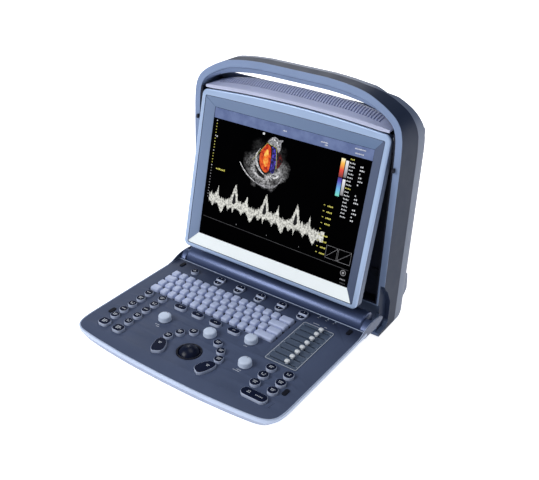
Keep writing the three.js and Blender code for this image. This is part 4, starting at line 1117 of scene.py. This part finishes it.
def build_lens_keys():
    form = Form()
    for c, x in enumerate(MODE_COLUMNS):
        for i in range(5):
            lens_key(form, (x, MODE_FIRST_Y - i * MODE_PITCH), lambda inset: plan(*MODE_SIZE, inset),
                     (ONE_LINE, TWO_LINES, THREE_MARKS)[(i + c) % 3])
        lens_key(form, (x, MODE_LAST_Y), mode_last, LAST_MARKS)
    make("mode_keys", form, KEY_LOOKS, "deck", ["mode_keypad"])
    form = Form()
    for x, y in ARC:
        for s in (1, -1):
            centre = (s * x, y)
            lens_key(form, centre, lambda inset: arc_key(centre, -inset), TWO_LINES)
    for x in OVAL_X:
        lens_key(form, (x, OVAL_Y), lambda inset: plan(*OVAL_SIZE, inset), OVAL_MARKS)
    make("function_keys", form, KEY_LOOKS, "deck", ["function_keypad"])
    form = Form()
    for i, x in enumerate(RIGHT_X):
        for j, y in enumerate(RIGHT_Y):
            lens_key(form, (x, y), lambda inset: plan(*RIGHT_SIZE, inset),
                     (TWO_LINES, THREE_MARKS, TWO_LINES)[(i + j) % 3])
    make("right_keys", form, KEY_LOOKS, "deck", ["right_keypad"])
    form = Form()
    lens_key(form, FREEZE, lambda inset: plan(*FREEZE_SIZE, inset), FREEZE_MARKS)
    make("freeze_key_cap", form, KEY_LOOKS, "freeze_key_body", ["freeze_key"])
    for side, s in (("left", -1), ("right", 1)):
        form = Form()
        centre = (s * THUMB[0], THUMB[1])
        lens_key(form, centre, lambda inset: leaf(inset, s), ((2 * s, 6.5, 6), (2 * s, 4, 4)))
        make(f"thumb_key_{side}_cap", form, KEY_LOOKS, f"thumb_key_{side}_body",
             [f"thumb_key_{side}"])
    form = Form()
    lens_key(form, POWER, lambda inset: plan(*POWER_SIZE, inset),
             ((0, 1.6, 1.2), (-1.8, -0.6, 1.2), (1.8, -0.6, 1.2), (0, -2.2, 2.4)))
    make("power_button_cap", form, KEY_LOOKS, "power_button_body", ["power_button"])


def build_rockers():
    """Each rocker: a light cap with a low dark lens in front and a raised dark lens behind."""
    half = SOFT_SIZE[0] / 2 - 0.1
    for i, x in enumerate(SOFT_X):
        form = Form()
        centre = (x, SOFT_Y)
        whole = moved(plan(*SOFT_SIZE, 0, 8), centre)
        block = ((0, KEY_FOOT), (0, KEY_TOP - 3.4), (0.6, KEY_TOP - 2.9), (1.6, KEY_TOP - 2.8))
        form.skin([at_height(drawn_in(whole, inset), z) for inset, z in block], SKIRT)
        for s, top, split in ((-1, KEY_TOP - 2.1, -1.2), (1, KEY_TOP - 0.1, 0.2)):
            part = [(px, py) for px, py in plan(*SOFT_SIZE, 0.1, 8) if py * s > 3]
            part += [(half, split), (-half, split)]
            part = moved(sorted(part, key=lambda q: math.atan2(q[1] - 5 * s, q[0])), centre)
            skirt = ((0, KEY_TOP - 3.6), (0, top - 1.0), (0.3, top - 0.5), (0.7, top - 0.3),
                     (1.0, top - 0.25))
            lens = ((1.0, top - 1), (1.0, top - 0.2), (1.9, top - 0.08), (3.0, top - 0.05))
            form.skin([at_height(drawn_in(part, inset), z) for inset, z in skirt], SKIRT)
            form.skin([at_height(drawn_in(part, inset), z) for inset, z in lens], LENS)
            key_marks(form, (x, SOFT_Y + 6 * s), ((0, 0, 2.8),), top - KEY_TOP)
        make(f"soft_rocker_{i + 1}_cap", form, KEY_LOOKS, f"rocker_{i + 1}",
             [f"soft_rocker_{i + 1}"])


def letter_rows():
    """Centre and width of every key of the typing rows: back row first."""
    keys = []
    for row, (first, count) in enumerate(KEY_ROWS):
        y = KEYS_Y - row * KEY_ROW_PITCH
        keys.append((KEYS_X[0] + first / 2, y, first))
        start = KEYS_X[0] + first + KEY_PITCH - KEY_W
        keys += [(start + i * KEY_PITCH + KEY_W / 2, y, KEY_W) for i in range(count)]
        end = start + count * KEY_PITCH
        keys.append(((end + KEYS_X[1]) / 2, y, KEYS_X[1] - end))
    return keys


def build_keyboard():
    profile = ((0, 38, 0), (0, 42.8, 0), (0.2, 44.2, 0), (0.7, 45.5, 0), (1.5, 46.4, 0), (2.6, 46.85, 0),
               (4.0, 47, 0), (5.6, 47, 0))
    form = Form()
    marks = Form()
    for k, (x, y, width) in enumerate(letter_rows()):
        form.key((x, y), lambda inset: plan(width, KEY_D, 3.6, inset, 5), profile)
        marks.dash(x - 1.4, y + 1.8, 1.9 + k * 5 % 3 * 0.5, 0.8, 46.8, KEY_TOP - 0.02)
        if k % 3:
            marks.dash(x + 1.4, y - 1.4, 1.5, 0.7, 46.8, KEY_TOP - 0.02)
    make("letter_keys", form, [LOOKS["key"]], "deck", ["keyboard"])
    make("letter_key_marks", marks, [LOOKS["belly"]], "deck")


build_lens_keys()
build_rockers()
build_keyboard()

# -------- trackball, knobs and sliders


def build_trackball():
    form = Form()
    tilts = [(0.01 + 0.98 * i / 40) * math.pi for i in range(41)]
    form.turned(TRACKBALL, [(BALL_R * math.sin(a), BALL_Z - BALL_R * math.cos(a)) for a in tilts], 64)
    make("trackball_sphere", form, [LOOKS["ball"]], "ball", ["trackball"])
    form = Form()
    rings = [(20.3, 38), (20.3, 42.3), (20, 42.9), (19.2, 43.2), (18.2, 43.1), (17.4, 42.5), (17.0, 41.6),
             (17.6, 40.4), (18.0, 39.4), (18.8, 38.0), (19.7, 36), (20.1, 33), (22.8, 33), (22.8, 36),
             (20.6, 36.4)]
    circle = [(math.cos(a), math.sin(a)) for a in (i / 64 * math.tau for i in range(64))]
    form.skin([[(TRACKBALL[0] + r * c, TRACKBALL[1] + r * d, z) for c, d in circle] for r, z in rings],
              closed=True)
    make("trackball_ring", form, [LOOKS["cup"]], "deck", ["trackball_cup"], angle=50)


def build_knobs():
    profile = ((8.6, DECK_TOP + GAP), (10.4, DECK_TOP + GAP), (10.95, DECK_TOP + 0.8), (10.95, DECK_TOP + 2),
               (10.7, DECK_TOP + 2.4), (10.6, KNOB_TOP - 3.6), (10.2, KNOB_TOP - 2.4), (9.4, KNOB_TOP - 1.4),
               (8.2, KNOB_TOP - 0.8), (6.5, KNOB_TOP - 0.35), (3.5, KNOB_TOP - 0.05), (1, KNOB_TOP))
    for i, centre in enumerate(KNOBS):
        form = Form()
        form.turned(centre, profile, 96)
        form.turned(centre, ((2.9, DECK_TOP - 7), (2.9, DECK_TOP + 1)), 24)
        form.dash(centre[0], centre[1] + 6.8, 0.7, 2.6, KNOB_TOP - 0.5, KNOB_TOP - 0.01, 1)
        make(f"rotary_knob_{i + 1}_dome", form, [LOOKS["knob"], LOOKS["belly"]], f"knob_{i + 1}",
             [f"rotary_knob_{i + 1}"])


def build_sliders():
    x0, x1 = TGC[0] - TGC_HALF[0], TGC[0] + TGC_HALF[0]
    y0, y1 = TGC[1] - TGC_HALF[1], TGC[1] + TGC_HALF[1]
    slots = [rounded(TGC[0] - TGC_TRAVEL / 2, TGC[0] + TGC_TRAVEL / 2, y - 1.3, y + 1.3, 1.2) for y in SLOT_Y]
    plate("slider_plate_film", [rounded(x0, x1, y0, y1, 4)] + slots, DECK_TOP - 1.6, DECK_TOP + 0.35, 0.2,
          LOOKS["tgc"], "deck", ["slider_plate"])
    form = Form()
    # a near-black sheet under the slots, painted shade
    form.slab(rounded(x0 + 3, x1 - 3, y0 + 4, y1 - 4, 3), DECK_TOP - 3.1, DECK_TOP - 1.65, 1)
    edge = rounded(x0 + 1.2, x1 - 1.2, y0 + 1.2, y1 - 1.2, 3)
    form.bar(edge + edge[:1], 0.7, DECK_TOP, DECK_TOP + 0.42, 0)
    for y in SLOT_Y:
        for k in (-1, 1):
            form.dash(TGC[0] + k * 25.6, y, 1.4, 0.6, DECK_TOP, DECK_TOP + 0.42, 0)
    make("slider_plate_marks", form, [LOOKS["print"], LOOKS["slot"]], "deck")
    for i, y in enumerate(SLOT_Y):
        form = Form()
        rings = []
        for hx, hy, r, z in ((2.4, 2.2, 1.4, 42.9), (2.4, 2.2, 1.4, 44.6), (3.3, 2.9, 2.0, 45.2),
                             (4.1, 3.5, 2.5, 46.0), (4.2, 3.6, 2.7, 47.0), (3.9, 3.4, 2.6, 48.0),
                             (3.2, 2.7, 2.1, 48.7), (1.9, 1.5, 1.2, 49)):
            rings.append(at_height(moved(rounded(-hx, hx, -hy, hy, r, 5), (TGC_CAP_X, y)), z))
        form.skin(rings)
        form.slab(moved(plan(4, 2, 0.4), (TGC_CAP_X, y)), DECK_TOP - 6, DECK_TOP + 1.2)
        make(f"gain_slider_{i + 1}_cap", form, [LOOKS["cap"]], f"slider_{i + 1}",
             [f"gain_slider_{i + 1}"], angle=38)


build_trackball()
build_knobs()
build_sliders()

# -------- camera, floor and light
CAMERA_PLACE = (0.60042, -0.86114, 0.75263)
CAMERA_FORWARD = (-0.47942, 0.73113, -0.48540)
CAMERA_RIGHT = (0.82504, 0.56401, 0.03465)


def build_camera():
    """The photograph's own point of view; the right vector holds its slight roll."""
    data = bpy.data.cameras.new("photo_view")
    data.lens = 49.88
    data.sensor_width = 36
    data.clip_end = 50
    camera = bpy.data.objects.new("photo_view", data)
    forward = Vector(CAMERA_FORWARD).normalized()
    right = Vector(CAMERA_RIGHT).normalized()
    turn = Matrix((right, right.cross(forward), -forward)).transposed().to_4x4()
    camera.matrix_world = Matrix.Translation(CAMERA_PLACE) @ turn
    bpy.context.scene.collection.objects.link(camera)
    bpy.context.scene.camera = camera


def build_floor():
    """A plain white floor in tiles, with a little light of its own so that it reads as paper white."""
    half, tiles = 9.0, 6
    step = 2 * half / tiles
    level = -0.00005
    points, faces = [], []
    for i in range(tiles):
        for j in range(tiles):
            x0, y0 = -half + i * step, -half + j * step
            x1, y1 = x0 + step, y0 + step
            faces.append(range(len(points), len(points) + 4))
            points += [(x0, y0, level), (x1, y0, level), (x1, y1, level), (x0, y1, level)]
    shape = bpy.data.meshes.new("floor")
    shape.from_pydata([Vector(point) for point in points], [], faces)
    look, tree, shader, place = start("floor_white")
    shader.inputs["Emission Strength"].default_value = 0.9
    shader.inputs["Emission Color"].default_value = (1, 1, 1, 1)
    cloud = noise(tree, place, 2.0, 2.0)
    tree.links.new(blend_colours(tree, cloud, (0.93, 0.93, 0.935), (0.95, 0.95, 0.955)),
                   shader.inputs["Base Color"])
    shader.inputs["Roughness"].default_value = 0.9
    shader.inputs["Specular IOR Level"].default_value = 0.1
    shape.materials.append(look)
    floor = bpy.data.objects.new("floor", shape)
    bpy.context.scene.collection.objects.link(floor)


def area_light(name, place, aim, size, power, colour=(1, 1, 1)):
    data = bpy.data.lights.new(name, "AREA")
    data.shape = "RECTANGLE"
    data.size, data.size_y = size
    data.energy = power
    data.color = colour
    lamp = bpy.data.objects.new(name, data)
    lamp.location = place
    lamp.rotation_euler = (Vector(aim) - Vector(place)).to_track_quat("-Z", "Y").to_euler()
    bpy.context.scene.collection.objects.link(lamp)


def build_light():
    world = bpy.data.worlds.new("studio")
    world.use_nodes = True
    background = world.node_tree.nodes["Background"]
    background.inputs["Color"].default_value = (0.8, 0.88, 1.0, 1)
    background.inputs["Strength"].default_value = 0.2
    bpy.context.scene.world = world
    area_light("key_soft", (-1.34, -2.06, 1.9), (0, 0, 0.15), (1.5, 1.1), 52)
    area_light("top_soft", (0.2, 0.5, 2.9), (0, 0.05, 0.2), (1.8, 1.4), 18)
    area_light("back_soft", (-1.45, 2.2, 1.5), (0, -0.05, 0.1), (2.0, 0.9), 22)


build_camera()
build_floor()
build_light()
bpy.context.scene.view_settings.view_transform = "Standard"
